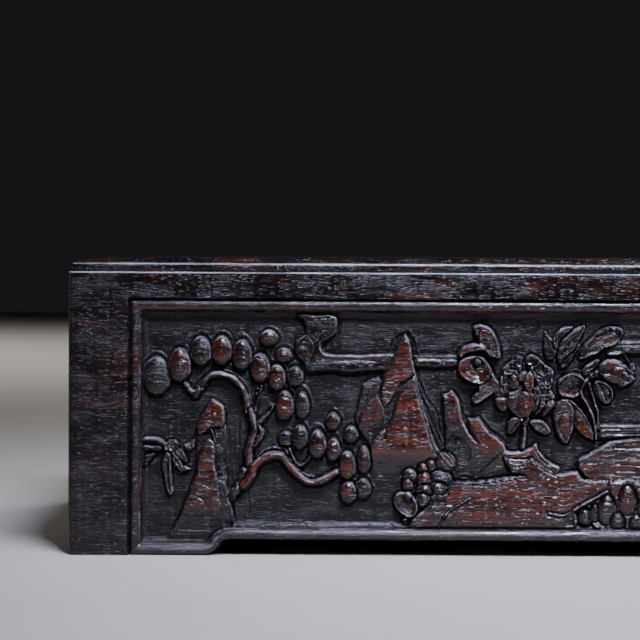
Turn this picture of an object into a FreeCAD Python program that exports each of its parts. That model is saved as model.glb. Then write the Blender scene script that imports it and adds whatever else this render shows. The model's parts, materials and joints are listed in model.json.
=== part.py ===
"""Hardwood box for an ink stick and an ink stone, as a parametric FreeCAD document.

Four mitred wall boards stand on bracket feet cut from their own lower edges. Each wall has a sunk
field inside a running bead and cove, which follows the feet and the low apron between them. Loose
tongues lock the mitres, the floor floats in a groove and is kept flat by two dovetailed battens, and
partitions make a stone well, an ink stick well with a grooved rack, and a long brush well. The main
masses of the carving, its rocks, pines, flowers and clouds, stand in the fields of the walls. The lid
is one board with a raised, softly shouldered top. A glued lip under it drops into the mouth of the
box, and the lid lifts straight off.

Units are millimetres. +Z is up, the carved front faces -Y, and the origin is at the middle of the
footprint, on the plane that the feet stand on.
"""

import os

import FreeCAD, Part
import Sketcher

SIZES = (
    # case
    ("box_length", 316.0, "outside length of the case, along X"),
    ("box_depth", 190.0, "outside depth of the case, along Y"),
    ("rim_height", 95.0, "feet to the rim of the four walls"),
    ("wall_thick", 14.0, "thickness of the four wall boards"),
    ("corner_round", 1.8, "radius of the upright outer corners"),
    ("rim_round", 0.5, "radius of the rim's outer edge"),
    # bracket feet and apron
    ("foot_length", 45.0, "outer corner to where the foot starts to rise"),
    ("apron_rise", 5.3, "feet to the underside of the apron"),
    ("ogee_spare", 1.0, "how much the ogee's lower radius exceeds the moulding's width"),
    ("ogee_crest", 3.0, "upper radius of the ogee"),
    # framed field
    ("stile_width", 20.0, "outer corner to the moulding"),
    ("rail_width", 8.8, "rim to the moulding"),
    ("field_depth", 4.0, "frame face to the sunk ground"),
    ("quirk_width", 0.7, "groove outside the bead"),
    ("quirk_depth", 1.3, "depth of that groove"),
    ("quirk_trim", 0.35, "width of that groove that the feet and the apron cut away"),
    ("bead_width", 3.5, "width of the bead"),
    ("bead_drop", 0.2, "frame face down to the bead's crown"),
    ("cove_width", 2.2, "hollow from the bead to the ground"),
    ("cove_step", 0.5, "step down from the bead to the hollow"),
    # carving
    ("mass_height", 2.9, "sunk ground to the top of the rocks, pines and flowers"),
    ("cloud_height", 1.8, "sunk ground to the top of the clouds"),
    # mitre tongues
    ("tongue_thick", 3.0, "thickness of the loose tongues"),
    ("tongue_width", 10.0, "width of the loose tongues, across the mitre"),
    ("tongue_foot", 10.0, "feet to the lower end of a tongue"),
    ("tongue_stop", 9.0, "upper end of a tongue to the rim"),
    # floor
    ("floor_level", 13.0, "feet to the underside of the floor"),
    ("floor_thick", 6.0, "thickness of the floor board"),
    ("floor_groove", 5.0, "depth of the groove that holds the floor"),
    ("float_gap", 0.5, "room for the floor to swell, at each edge"),
    ("batten_width", 18.0, "width of a floor batten"),
    ("batten_height", 5.5, "height of a floor batten below the floor"),
    ("batten_inset", 62.0, "middle of a batten from the end of the case"),
    ("dovetail_depth", 2.0, "depth of a batten's dovetail in the floor"),
    ("dovetail_flare", 0.8, "how much each flank of the dovetail leans"),
    # partitions and rack
    ("partition_thick", 6.0, "thickness of the partitions"),
    ("partition_height", 58.0, "height of the partitions above the floor"),
    ("dado_depth", 3.0, "depth of the housings that hold the partitions"),
    ("brush_width", 36.0, "width of the brush well"),
    ("stick_well", 91.0, "length of the ink stick well"),
    ("scallop_width", 38.0, "width of a finger scallop"),
    ("scallop_depth", 12.0, "depth of a finger scallop"),
    ("rack_thick", 13.0, "thickness of the ink stick rack"),
    ("trough_width", 22.0, "width of one trough"),
    ("trough_margin", 6.0, "rack's edge to the end of a trough"),
    ("trough_depth", 7.0, "depth of one trough"),
    ("trough_pitch", 28.0, "middle of one trough to the next"),
    ("fit_gap", 0.1, "clearance of the glued joints"),
    # lid
    ("lid_inset", 1.0, "outer face of the case to the edge of the lid"),
    ("lid_edge", 2.6, "thickness of the lid at its edge"),
    ("lid_swell", 2.3, "rise of the lid's field above its edge"),
    ("shoulder_run", 5.0, "edge of the lid to the flat of its field"),
    ("edge_round", 0.4, "radius of the lid's lower edge"),
    ("lip_thick", 5.0, "thickness of the lip strips"),
    ("lip_height", 4.5, "depth that the lip drops into the mouth"),
    ("lip_gap", 0.5, "clearance between the lip and the walls"),
    ("cleat_width", 16.0, "width of a lid cleat"),
    ("cleat_height", 4.0, "height of a lid cleat below the lid"),
    ("cleat_housing", 1.2, "depth of a cleat's housing in the lid"),
    ("cleat_inset", 70.0, "middle of a cleat from the end of the case"),
)

# Lengths that follow from the sheet, as expressions over its cells.
MOULDING = "(quirk_width + bead_width + cove_width)"
OGEE_FOOT = f"({MOULDING} + ogee_spare)"
OGEE_SUM = f"({OGEE_FOOT} + ogee_crest)"
OGEE_RUN = f"sqrt(2 * apron_rise * {OGEE_SUM} - apron_rise * apron_rise)"
FIELD_TOP = "(rim_height - rail_width)"
FLOOR_TOP = "(floor_level + floor_thick)"
PARTITION_TOP = f"({FLOOR_TOP} + partition_height)"
INNER_HALF_LENGTH = "(box_length / 2 - wall_thick)"
INNER_HALF_DEPTH = "(box_depth / 2 - wall_thick)"
FLOOR_MARGIN = "(wall_thick - floor_groove + float_gap)"
LONG_PARTITION_BACK = f"({INNER_HALF_DEPTH} - brush_width)"
LONG_PARTITION_FRONT = f"({LONG_PARTITION_BACK} - partition_thick)"
CROSS_PARTITION_RIGHT = f"({INNER_HALF_LENGTH} - stick_well)"
CROSS_PARTITION_LEFT = f"({CROSS_PARTITION_RIGHT} - partition_thick)"
LID_HALF_LENGTH = "(box_length / 2 - lid_inset)"
LID_HALF_DEPTH = "(box_depth / 2 - lid_inset)"
# Outlines of the carving's masses, in hundredths of the board's length from its left end and of its
# height from the feet, under the size that gives their height. The long ones are on the front, and the
# other way round on the back; the short ones are on both ends.
LONG_HIGH_MASSES = {
    "left_rock": ((15.2, 55.1), (16.6, 50.2), (16.6, 33.3), (17.7, 12.8), (11.0, 12.8), (13.5, 29.8),
                  (13.8, 48.4)),
    "left_canopy": ((8.7, 57.2), (8.7, 69.5), (12.4, 77.2), (16.9, 78.9), (22.2, 80.4), (24.9, 66.7),
                    (25.6, 49.1), (21.9, 48.1), (21.5, 57.9), (16.9, 65.3), (13.7, 64.6)),
    "left_trunk": ((18.8, 56.8), (19.9, 56.8), (20.3, 44.9), (19.8, 36.5), (21.7, 37.2), (24.3, 30.9),
                   (25.9, 27.7), (27.6, 28.8), (27.6, 24.6), (25.7, 23.5), (23.6, 28.1), (21.7, 33.3),
                   (20.3, 30.2), (19.8, 12.8), (18.6, 12.8), (18.4, 29.5), (18.6, 39.3)),
    "low_boughs": ((23.6, 45.6), (23.8, 37.2), (26.4, 33.0), (28.3, 31.6), (28.3, 18.9), (32.3, 18.9),
                   (32.3, 28.8), (30.4, 29.5), (30.4, 44.9), (27.6, 50.5)),
    "left_peak": ((32.0, 30.9), (31.0, 47.0), (32.8, 57.2), (35.6, 78.2), (36.7, 63.2), (38.0, 44.9),
                  (38.8, 36.5), (39.0, 30.9)),
    "left_shore": ((35.0, 12.8), (35.2, 28.1), (39.5, 28.8), (40.0, 39.3), (40.4, 58.6), (41.8, 47.0),
                   (42.5, 42.8), (43.5, 49.8), (46.1, 40.0), (49.5, 39.3), (51.5, 32.6), (54.0, 32.6),
                   (57.1, 25.6), (56.8, 21.8), (54.9, 16.8), (54.0, 12.8)),
    "hill": ((55.1, 35.1), (57.5, 41.1), (60.3, 42.5), (63.9, 39.3), (67.5, 33.0), (67.2, 28.8),
             (58.0, 28.1)),
    "flowers": ((41.0, 66.7), (41.8, 74.4), (43.1, 81.4), (45.6, 72.3), (47.7, 70.9), (50.0, 69.5),
                (50.4, 79.3), (51.7, 71.9), (54.4, 81.4), (58.5, 80.7), (59.3, 71.9), (60.2, 62.5),
                (58.2, 53.3), (56.8, 57.2), (55.7, 43.9), (52.7, 39.6), (51.1, 43.5), (48.5, 42.8),
                (46.4, 43.9), (45.1, 54.4), (42.7, 53.3), (43.8, 60.4)),
    "right_shore": ((58.6, 12.8), (58.3, 23.2), (63.3, 25.3), (68.1, 26.0), (68.6, 35.1), (68.1, 47.0),
                    (69.1, 58.6), (69.7, 39.3), (69.8, 28.1), (74.3, 28.1), (74.5, 12.8)),
    "right_peak": ((77.5, 30.9), (78.5, 47.0), (76.7, 57.2), (73.9, 78.2), (72.8, 63.2), (71.5, 44.9),
                   (70.7, 36.5), (70.5, 30.9)),
    "right_canopy": ((91.3, 57.2), (91.3, 69.5), (87.6, 77.2), (83.1, 78.9), (76.2, 80.4), (77.6, 62.0),
                     (79.5, 49.1), (80.4, 58.0), (83.1, 65.3), (86.3, 64.6)),
    "right_trunk": ((81.2, 56.8), (80.6, 52.0), (80.0, 44.9), (80.2, 36.5), (79.2, 33.0), (79.6, 30.2),
                    (80.2, 12.8), (81.4, 12.8), (81.6, 29.5), (81.4, 39.3)),
    "right_rock": ((84.8, 55.1), (83.4, 50.2), (83.4, 33.3), (82.3, 12.8), (89.0, 12.8), (86.5, 29.8),
                   (86.2, 48.4)),
}
LONG_CLOUD_MASSES = {
    "cloud_head": ((24.6, 82.6), (28.3, 82.6), (28.2, 79.0), (26.8, 75.4), (27.3, 71.2), (33.6, 71.2),
                   (32.9, 65.2), (26.0, 65.2), (25.4, 70.0), (26.0, 78.0)),
    "near_band": ((37.0, 67.0), (37.0, 71.2), (40.2, 71.2), (40.2, 67.0)),
    "high_band": ((60.6, 72.3), (60.6, 76.2), (68.4, 75.2), (68.0, 71.8)),
    "low_band": ((57.4, 44.4), (57.4, 46.6), (67.0, 46.2), (66.4, 43.0)),
}
SHORT_HIGH_MASSES = {
    "rock": ((25.2, 55.1), (27.5, 50.2), (27.5, 33.3), (29.6, 12.8), (18.2, 12.8), (22.5, 29.8),
             (23.0, 48.4)),
    "canopy": ((14.5, 57.2), (14.5, 69.5), (20.7, 77.2), (28.1, 78.9), (36.8, 80.4), (41.4, 66.7),
               (42.6, 49.1), (36.5, 48.1), (35.8, 57.9), (28.1, 65.3), (22.8, 64.6)),
    "trunk": ((31.2, 56.8), (33.2, 56.8), (33.7, 44.9), (33.0, 36.5), (36.1, 37.2), (40.4, 30.9),
              (43.2, 27.7), (46.0, 28.8), (46.0, 24.6), (42.8, 23.5), (39.3, 28.1), (36.1, 33.3),
              (33.7, 30.2), (33.0, 12.8), (30.9, 12.8), (30.5, 29.5), (30.9, 39.3)),
    "low_boughs": ((39.3, 45.6), (39.6, 37.2), (43.9, 33.0), (47.0, 31.6), (47.0, 18.9), (53.7, 18.9),
                   (53.7, 28.8), (50.5, 29.5), (50.5, 44.9), (46.0, 50.5)),
    "peak": ((63.7, 30.9), (62.1, 47.0), (65.1, 57.2), (69.8, 78.2), (71.6, 63.2), (73.7, 44.9),
             (75.1, 36.5), (75.4, 30.9)),
    "shore": ((68.8, 12.8), (69.1, 28.1), (76.1, 28.8), (77.0, 39.3), (77.7, 58.6), (80.0, 47.0),
              (82.5, 38.0), (85.6, 30.0), (85.6, 12.8)),
}
SHORT_CLOUD_MASSES = {
    "cloud_head": ((51.4, 82.6), (57.5, 82.6), (57.4, 79.0), (55.1, 75.4), (55.9, 71.2), (67.0, 71.2),
                   (65.8, 65.2), (53.8, 65.2), (52.7, 70.0), (53.8, 78.0)),
    "near_band": ((72.0, 67.0), (72.0, 71.2), (77.4, 71.2), (77.4, 67.0)),
}
LONG_CARVING = {"mass_height": LONG_HIGH_MASSES, "cloud_height": LONG_CLOUD_MASSES}
SHORT_CARVING = {"mass_height": SHORT_HIGH_MASSES, "cloud_height": SHORT_CLOUD_MASSES}
TROUGHS = 3
CUT_SPARE = 2.0  # how far a cutting outline runs past the wood that it cuts
TOLERANCE = 0.01  # two lengths that differ by less are the same

doc = FreeCAD.newDocument("ink_box")


def fill_sheet():
    """Writes every driving dimension into the sheet, as name, number, note and alias."""
    sheet = doc.addObject("Spreadsheet::Sheet", "sizes")
    for row, (alias, size, note) in enumerate(SIZES, start=1):
        sheet.set(f"A{row}", alias)
        sheet.set(f"B{row}", str(size))
        sheet.set(f"C{row}", note)
        sheet.setAlias(f"B{row}", alias)
    doc.recompute()
    return sheet


sizes = fill_sheet()
ALIASES = {alias for alias, _, _ in SIZES}


def bound(expression):
    """The expression with each cell's alias written as a reference to the sheet."""
    parts, word = [], ""
    for letter in expression + " ":
        if letter.isalnum() or letter == "_":
            word += letter
            continue
        parts.append(f"sizes.{word}" if word in ALIASES else word)
        parts.append(letter)
        word = ""
    return "".join(parts).strip()


def value(expression):
    """The number that an expression over the sheet comes to."""
    return float(sizes.evalExpression(bound(expression)))


def bind(thing, name, expression):
    """Binds one property or constraint to an expression over the sheet."""
    thing.setExpression(name, bound(expression))


def new_body(label):
    """A PartDesign body whose label names the piece and its file."""
    body = doc.addObject("PartDesign::Body", label)
    body.Label = label
    return body


def new_sketch(body, role, height="0"):
    """A sketch on one of the body's own origin planes, moved along the plane's normal."""
    plane = next(feature for feature in body.Origin.OriginFeatures if feature.Role == role)
    sketch = body.newObject("Sketcher::SketchObject", f"{body.Label}_outline")
    sketch.AttachmentSupport = (plane, [""])
    sketch.MapMode = "FlatFace"
    bind(sketch, "AttachmentOffset.Base.z", height)
    return sketch


def hold(sketch, kind, edge, end, expression):
    """Holds one point of an edge at a bound distance from the sketch's origin, along X or Y."""
    constraint = Sketcher.Constraint(kind, -1, 1, edge, end, value(expression))
    bind(sketch, f"Constraints[{sketch.addConstraint(constraint)}]", expression)


def draw(sketch, start, *steps):
    """Draws a closed outline. A step is (x, y), for a straight edge to that point, or
    (x, y, centre_x, centre_y, turn), for an arc about the centre, where turn is 1 if the arc runs
    anticlockwise and -1 if clockwise. Every coordinate is an expression over the sheet."""
    here = start
    ends = []
    for step in steps:
        there = step[:2]
        first, last = (FreeCAD.Vector(value(x), value(y), 0) for x, y in (here, there))
        if len(step) == 2:
            edge = sketch.addGeometry(Part.LineSegment(first, last))
            ends.append((edge, 1, 2))
        else:
            centre = FreeCAD.Vector(value(step[2]), value(step[3]), 0)
            turn = step[4]
            begin, stop = (first, last) if turn > 0 else (last, first)
            circle = Part.Circle(centre, FreeCAD.Vector(0, 0, 1), (first - centre).Length)
            arc = Part.ArcOfCircle(circle, circle.parameter(begin), circle.parameter(stop))
            edge = sketch.addGeometry(arc)
            ends.append((edge, 1, 2) if turn > 0 else (edge, 2, 1))
            if abs((last - first).x) < abs((last - first).y):
                hold(sketch, "DistanceX", edge, 3, step[2])
            else:
                hold(sketch, "DistanceY", edge, 3, step[3])
        hold(sketch, "DistanceX", edge, ends[-1][2], there[0])
        hold(sketch, "DistanceY", edge, ends[-1][2], there[1])
        here = there
    for (edge, _, last), (after, first, _) in zip(ends, ends[1:] + ends[:1]):
        sketch.addConstraint(Sketcher.Constraint("Coincident", edge, last, after, first))
    return sketch


def rectangle(sketch, low_x, low_y, high_x, high_y):
    """Draws a rectangle between two corners."""
    corners = ((high_x, low_y), (high_x, high_y), (low_x, high_y), (low_x, low_y))
    return draw(sketch, (low_x, low_y), *corners)


def pad(body, sketch, length, both_ways=False):
    """Adds the sketch's outline, drawn out along its normal, or evenly to both sides of it."""
    feature = body.newObject("PartDesign::Pad", f"{body.Label}_pad")
    feature.Profile = sketch
    feature.Midplane = both_ways
    bind(feature, "Length", length)
    doc.recompute()
    return feature


def pocket(body, sketch, depth, along_normal=False, both_ways=False):
    """Cuts the sketch's outline to a depth, and stops the build if nothing came away."""
    before = body.Shape.Volume
    feature = body.newObject("PartDesign::Pocket", f"{body.Label}_pocket")
    feature.Profile = sketch
    feature.Reversed = along_normal
    feature.Midplane = both_ways
    bind(feature, "Length", depth)
    doc.recompute()
    if not body.Shape.Volume < before:
        raise RuntimeError(f"a pocket in {body.Label} cut nothing")
    return feature


def run_round(body, kind, profile, spine):
    """Sweeps a section round a closed outline, with its corners mitred."""
    feature = body.newObject(f"PartDesign::{kind}", f"{body.Label}_moulding")
    feature.Profile = profile
    feature.Spine = (spine, [])
    feature.Mode = "Frenet"
    feature.Transition = "Right corner"
    doc.recompute()
    return feature


def round_edges(body, radius, test):
    """Rounds the edges of the body whose two ends and middle all pass the test."""
    names = []
    for number, edge in enumerate(body.Shape.Edges, start=1):
        middle = edge.valueAt((edge.FirstParameter + edge.LastParameter) / 2)
        if all(test(point) for point in [vertex.Point for vertex in edge.Vertexes] + [middle]):
            names.append(f"Edge{number}")
    base = body.Tip
    feature = body.newObject("PartDesign::Fillet", f"{body.Label}_round")
    feature.Base = (base, names)
    bind(feature, "Radius", radius)
    doc.recompute()
    return feature


def near(a, b):
    """True if two lengths are the same."""
    return abs(a - b) < TOLERANCE


def place(body, x="0", y="0", z="0", turn=0.0):
    """Puts a body at a bound point, turned about Z by so many degrees."""
    spin = FreeCAD.Rotation(FreeCAD.Vector(0, 0, 1), turn)
    body.Placement = FreeCAD.Placement(FreeCAD.Vector(0, 0, 0), spin)
    for axis, expression in zip("xyz", (x, y, z)):
        bind(body, f"Placement.Base.{axis}", expression)
    doc.recompute()


# ---------------------------------------------------------------- walls


def lower_edge(half, drop):
    """Steps along a wall's lower edge, from its left foot to its right: foot, ogee, apron, ogee, foot.
    half is the half length of the wall, and drop is how far below the true edge the line runs."""
    foot_line = f"(0 - {drop})"
    apron_line = f"(apron_rise - {drop})"
    toe = f"({half} - foot_length)"
    inner = f"({toe} - {OGEE_RUN})"
    between = f"({toe} - {OGEE_RUN} * {OGEE_FOOT} / {OGEE_SUM})"
    middle = f"(apron_rise * {OGEE_FOOT} / {OGEE_SUM} - {drop})"
    low_centre = f"({OGEE_FOOT} - {drop})"
    high_centre = f"(apron_rise - ogee_crest - {drop})"
    return (
        (f"-{toe}", foot_line),
        (f"-{between}", middle, f"-{toe}", low_centre, 1),
        (f"-{inner}", apron_line, f"-{inner}", high_centre, -1),
        (inner, apron_line),
        (between, middle, inner, high_centre, -1),
        (toe, foot_line, toe, low_centre, 1),
    )


def field_outline(sketch, half):
    """Draws the outer line of the moulding, which runs a little below the true lower edge."""
    side = f"({half} - stile_width)"
    foot_line = "(0 - quirk_trim)"
    corner = (f"-{side}", foot_line)
    return draw(
        sketch,
        ("0", FIELD_TOP),
        (f"-{side}", FIELD_TOP),
        corner,
        *lower_edge(half, "quirk_trim"),
        (side, foot_line),
        (side, FIELD_TOP),
        ("0", FIELD_TOP),
    )


def moulding_section(sketch):
    """Section of the quirk, bead and cove: X runs into the wood and Y is up. It hangs from the upper
    edge of the field, and its back lies sunk in the ground by the cove's step."""
    back = "(field_depth + cove_step)"
    bead_foot = "(bead_drop + quirk_depth)"
    bead_top = f"({FIELD_TOP} - quirk_width)"
    bead_low = f"({bead_top} - bead_width)"
    cove_low = f"({bead_low} - cove_width)"
    bead_radius = "((bead_width * bead_width / 4 + quirk_depth * quirk_depth) / (2 * quirk_depth))"
    cove_start = f"({bead_foot} + cove_step)"
    fall = f"(field_depth - {cove_start})"
    cove_radius = f"((cove_width * cove_width + {fall} * {fall}) / (2 * {fall}))"
    return draw(
        sketch,
        (back, FIELD_TOP),
        (bead_foot, FIELD_TOP),
        (bead_foot, bead_top),
        (bead_foot, bead_low, f"(bead_drop + {bead_radius})", f"({bead_top} - bead_width / 2)", 1),
        (cove_start, bead_low),
        ("field_depth", cove_low, f"(field_depth - {cove_radius})", cove_low, -1),
        (back, cove_low),
        (back, FIELD_TOP),
    )


def wall_plan(sketch, half):
    """Plan of a mitred board: outer face on Y = 0, with its half of each rounded corner."""
    nip = "(corner_round * (1 - cos(45deg)))"
    start = f"({half} - corner_round)"
    return draw(
        sketch,
        (f"-{start}", "0"),
        (start, "0"),
        (f"({half} - {nip})", nip, start, "corner_round", 1),
        (f"({half} - wall_thick)", "wall_thick"),
        (f"-({half} - wall_thick)", "wall_thick"),
        (f"-({half} - {nip})", nip),
        (f"-{start}", "0", f"-{start}", "corner_round", 1),
    )


def tongue_outline(sketch, x, y, side, clearance="0"):
    """Plan of a loose tongue, square to a mitre and centred on (x, y)."""
    reach = f"(tongue_width / 2 - {clearance}) * cos(45deg)"
    across = f"(tongue_thick / 2 - {clearance}) * cos(45deg)"
    corners = []
    for along, over in ((-1, -1), (1, -1), (1, 1), (-1, 1), (-1, -1)):
        corner_x = f"({x} + {side} * ({along} * {reach} + {over} * {across}))"
        corner_y = f"({y} + {along} * {reach} - {over} * {across})"
        corners.append((corner_x, corner_y))
    return draw(sketch, *corners)


def cut_dado(body, low_x, high_x):
    """Cuts an upright housing for a partition into the inner face of a wall."""
    sketch = new_sketch(body, "XZ_Plane", "0 - (wall_thick - dado_depth)")
    rectangle(sketch, low_x, FLOOR_TOP, high_x, PARTITION_TOP)
    pocket(body, sketch, "dado_depth")


def raise_masses(body, length, carving, turned):
    """Raises the carving's masses from the sunk ground, left for right if turned."""
    for height, masses in carving.items():
        for outline in masses.values():
            points = []
            for across, up in outline:
                share = (100 - across if turned else across) / 100 - 0.5
                points.append((f"({share:.3f} * {length})", f"({up / 100:.3f} * rim_height)"))
            sketch = new_sketch(body, "XZ_Plane", "0 - field_depth")
            pad(body, draw(sketch, points[-1], *points), height)


def build_wall(label, length, turn, carving, x="0", y="0", dado=None, turned=False):
    """One wall board, modelled with its outer face on Y = 0 and its length along X, then turned."""
    half = f"({length} / 2)"
    body = new_body(label)
    pad(body, wall_plan(new_sketch(body, "XY_Plane"), half), "rim_height")
    rim, corner = value("rim_height"), value("corner_round")
    round_edges(body, "rim_round", lambda point: near(point.z, rim) and point.y < corner / 2)
    pocket(body, field_outline(new_sketch(body, "XZ_Plane"), half), "field_depth")
    section = moulding_section(new_sketch(body, "YZ_Plane"))
    run_round(body, "AdditivePipe", section, field_outline(new_sketch(body, "XZ_Plane"), half))

    end = f"({half} + {CUT_SPARE})"
    below = f"(0 - {CUT_SPARE} - quirk_trim)"
    under = new_sketch(body, "XZ_Plane")
    draw(under, (f"-{end}", "0"), *lower_edge(half, "0"), (end, "0"), (end, below),
         (f"-{end}", below), (f"-{end}", "0"))
    pocket(body, under, "wall_thick")

    groove = new_sketch(body, "XZ_Plane", "0 - (wall_thick - floor_groove)")
    rectangle(groove, f"-{half}", "floor_level", half, FLOOR_TOP)
    pocket(body, groove, "floor_groove")
    for side in (-1, 1):
        slot = new_sketch(body, "XY_Plane", "tongue_foot")
        tongue_outline(slot, f"{side} * ({half} - wall_thick / 2)", "wall_thick / 2", side)
        pocket(body, slot, "rim_height - tongue_foot - tongue_stop", along_normal=True)
    if dado:
        cut_dado(body, *dado)
    raise_masses(body, length, carving, turned)
    place(body, x, y, turn=turn)
    return body


def build_tongue(label, x_side, y_side):
    """A loose tongue across one mitre."""
    body = new_body(label)
    sketch = new_sketch(body, "XY_Plane")
    x = f"{x_side} * (box_length / 2 - wall_thick / 2)"
    y = f"{y_side} * (box_depth / 2 - wall_thick / 2)"
    tongue_outline(sketch, x, y, -x_side * y_side, clearance="fit_gap / 2")
    pad(body, sketch, "rim_height - tongue_foot - tongue_stop")
    place(body, z="tongue_foot")
    return body


# ---------------------------------------------------------------- floor


def dovetail_section(sketch, middle, top, clearance="0"):
    """Section of a batten's dovetail, which widens upward from the underside of the floor."""
    neck = f"(batten_width / 2 - dovetail_flare - {clearance})"
    head = f"(batten_width / 2 - {clearance})"
    low = "0"
    return draw(
        sketch,
        (f"({middle} - {neck})", low),
        (f"({middle} + {neck})", low),
        (f"({middle} + {head})", top),
        (f"({middle} - {head})", top),
        (f"({middle} - {neck})", low),
    )


def build_floor():
    """The floor board, in its groove on all four sides, with two housings under it."""
    body = new_body("floor_board")
    half_length = f"(box_length / 2 - {FLOOR_MARGIN})"
    half_depth = f"(box_depth / 2 - {FLOOR_MARGIN})"
    plan = new_sketch(body, "XY_Plane")
    rectangle(plan, f"-{half_length}", f"-{half_depth}", half_length, half_depth)
    pad(body, plan, "floor_thick")
    for side in (-1, 1):
        housing = new_sketch(body, "XZ_Plane")
        dovetail_section(housing, f"{side} * (box_length / 2 - batten_inset)", "dovetail_depth")
        pocket(body, housing, "box_depth", both_ways=True)
    place(body, z="floor_level")
    return body


def build_batten(label, side):
    """A batten under the floor, between the front and the back, with a dovetail along its top."""
    body = new_body(label)
    depth = f"2 * ({INNER_HALF_DEPTH} - fit_gap)"
    bar = new_sketch(body, "XZ_Plane")
    rectangle(bar, "-batten_width / 2", "-batten_height", "batten_width / 2", "0")
    pad(body, bar, depth, both_ways=True)
    tail = new_sketch(body, "XZ_Plane")
    dovetail_section(tail, "0", "dovetail_depth - fit_gap", clearance="fit_gap")
    pad(body, tail, depth, both_ways=True)
    place(body, x=f"{side} * (box_length / 2 - batten_inset)", z="floor_level")
    return body


# ---------------------------------------------------------------- wells


def cut_scallop(body, middle):
    """Cuts a finger scallop, an arc of a circle, into the top edge of a partition."""
    reach = "(scallop_width / 2)"
    radius = f"(({reach} * {reach} + scallop_depth * scallop_depth) / (2 * scallop_depth))"
    top = "partition_height"
    sketch = new_sketch(body, "XZ_Plane")
    draw(
        sketch,
        (f"({middle} + {reach})", top),
        (f"({middle} - {reach})", top),
        (f"({middle} + {reach})", top, middle, f"({top} - scallop_depth + {radius})", 1),
    )
    pocket(body, sketch, "2 * partition_thick", both_ways=True)


def build_long_partition():
    """The board between the brush well and the two front wells, housed in both end walls."""
    body = new_body("long_partition")
    reach = f"({INNER_HALF_LENGTH} + dado_depth - fit_gap)"
    face = new_sketch(body, "XZ_Plane")
    rectangle(face, f"-{reach}", "0", reach, "partition_height")
    pad(body, face, "partition_thick", both_ways=True)
    dado = new_sketch(body, "XZ_Plane", "partition_thick / 2 - dado_depth")
    rectangle(dado, CROSS_PARTITION_LEFT, "0", CROSS_PARTITION_RIGHT, "partition_height")
    pocket(body, dado, "dado_depth", along_normal=True)
    cut_scallop(body, f"({CROSS_PARTITION_LEFT} - {INNER_HALF_LENGTH}) / 2")
    place(body, y=f"({LONG_PARTITION_FRONT} + partition_thick / 2)", z=FLOOR_TOP)
    return body


def build_cross_partition():
    """The board between the stone well and the ink stick well."""
    body = new_body("cross_partition")
    front = f"(0 - {INNER_HALF_DEPTH} - dado_depth + fit_gap)"
    back = f"({LONG_PARTITION_FRONT} + dado_depth - fit_gap)"
    face = new_sketch(body, "XZ_Plane")
    rectangle(face, front, "0", back, "partition_height")
    pad(body, face, "partition_thick - fit_gap", both_ways=True)
    cut_scallop(body, f"({LONG_PARTITION_FRONT} - {INNER_HALF_DEPTH}) / 2")
    place(body, x=f"({CROSS_PARTITION_LEFT} + partition_thick / 2)", z=FLOOR_TOP, turn=90)
    return body


def build_rack():
    """The rack for the ink sticks: round-bottomed troughs side by side, with a finger trough over
    their middles."""
    body = new_body("ink_rack")
    half_length = "(stick_well / 2 - fit_gap)"
    low_y = f"(0 - {INNER_HALF_DEPTH} + fit_gap)"
    high_y = f"({LONG_PARTITION_FRONT} - fit_gap)"
    plan = new_sketch(body, "XY_Plane")
    rectangle(plan, f"-{half_length}", low_y, half_length, high_y)
    pad(body, plan, "rack_thick")

    middle = f"(({LONG_PARTITION_FRONT} - {INNER_HALF_DEPTH}) / 2)"
    first = f"({middle} - {(TROUGHS - 1) / 2} * trough_pitch)"
    half_width = "(trough_width / 2)"
    radius = f"(({half_width} * {half_width} + trough_depth * trough_depth) / (2 * trough_depth))"
    section = new_sketch(body, "YZ_Plane")
    draw(
        section,
        (f"({first} + {half_width})", "rack_thick"),
        (f"({first} - {half_width})", "rack_thick"),
        (f"({first} + {half_width})", "rack_thick", first,
         f"(rack_thick - trough_depth + {radius})", 1),
    )
    trough = pocket(body, section, "stick_well - 2 * trough_margin", both_ways=True)
    row = body.newObject("PartDesign::LinearPattern", "ink_rack_troughs")
    row.Originals = [trough]
    y_axis = next(feature for feature in body.Origin.OriginFeatures if feature.Role == "Y_Axis")
    row.Direction = (y_axis, [""])
    row.Occurrences = TROUGHS
    bind(row, "Length", f"{TROUGHS - 1} * trough_pitch")
    body.Tip = row
    doc.recompute()
    place(body, x=f"({INNER_HALF_LENGTH} - stick_well / 2)", z=FLOOR_TOP)
    return body


# ---------------------------------------------------------------- lid


def shoulder_section(sketch):
    """What is cut away above the lid's shoulder: X runs into the lid from its front edge, Y is up."""
    edge = f"(0 - {LID_HALF_DEPTH})"
    flat = f"({edge} + shoulder_run)"
    top = "(lid_edge + lid_swell)"
    radius = "((shoulder_run * shoulder_run + lid_swell * lid_swell) / (2 * lid_swell))"
    outside = f"({edge} - {CUT_SPARE})"
    above = f"({top} + {CUT_SPARE})"
    return draw(
        sketch,
        (outside, "lid_edge"),
        (edge, "lid_edge"),
        (flat, top, flat, f"({top} - {radius})", -1),
        (flat, above),
        (outside, above),
        (outside, "lid_edge"),
    )


def cleat_half_depth():
    """Half the length of a cleat, which fits between the front and the back lip strip."""
    return f"({INNER_HALF_DEPTH} - lip_gap - lip_thick - fit_gap)"


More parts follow.
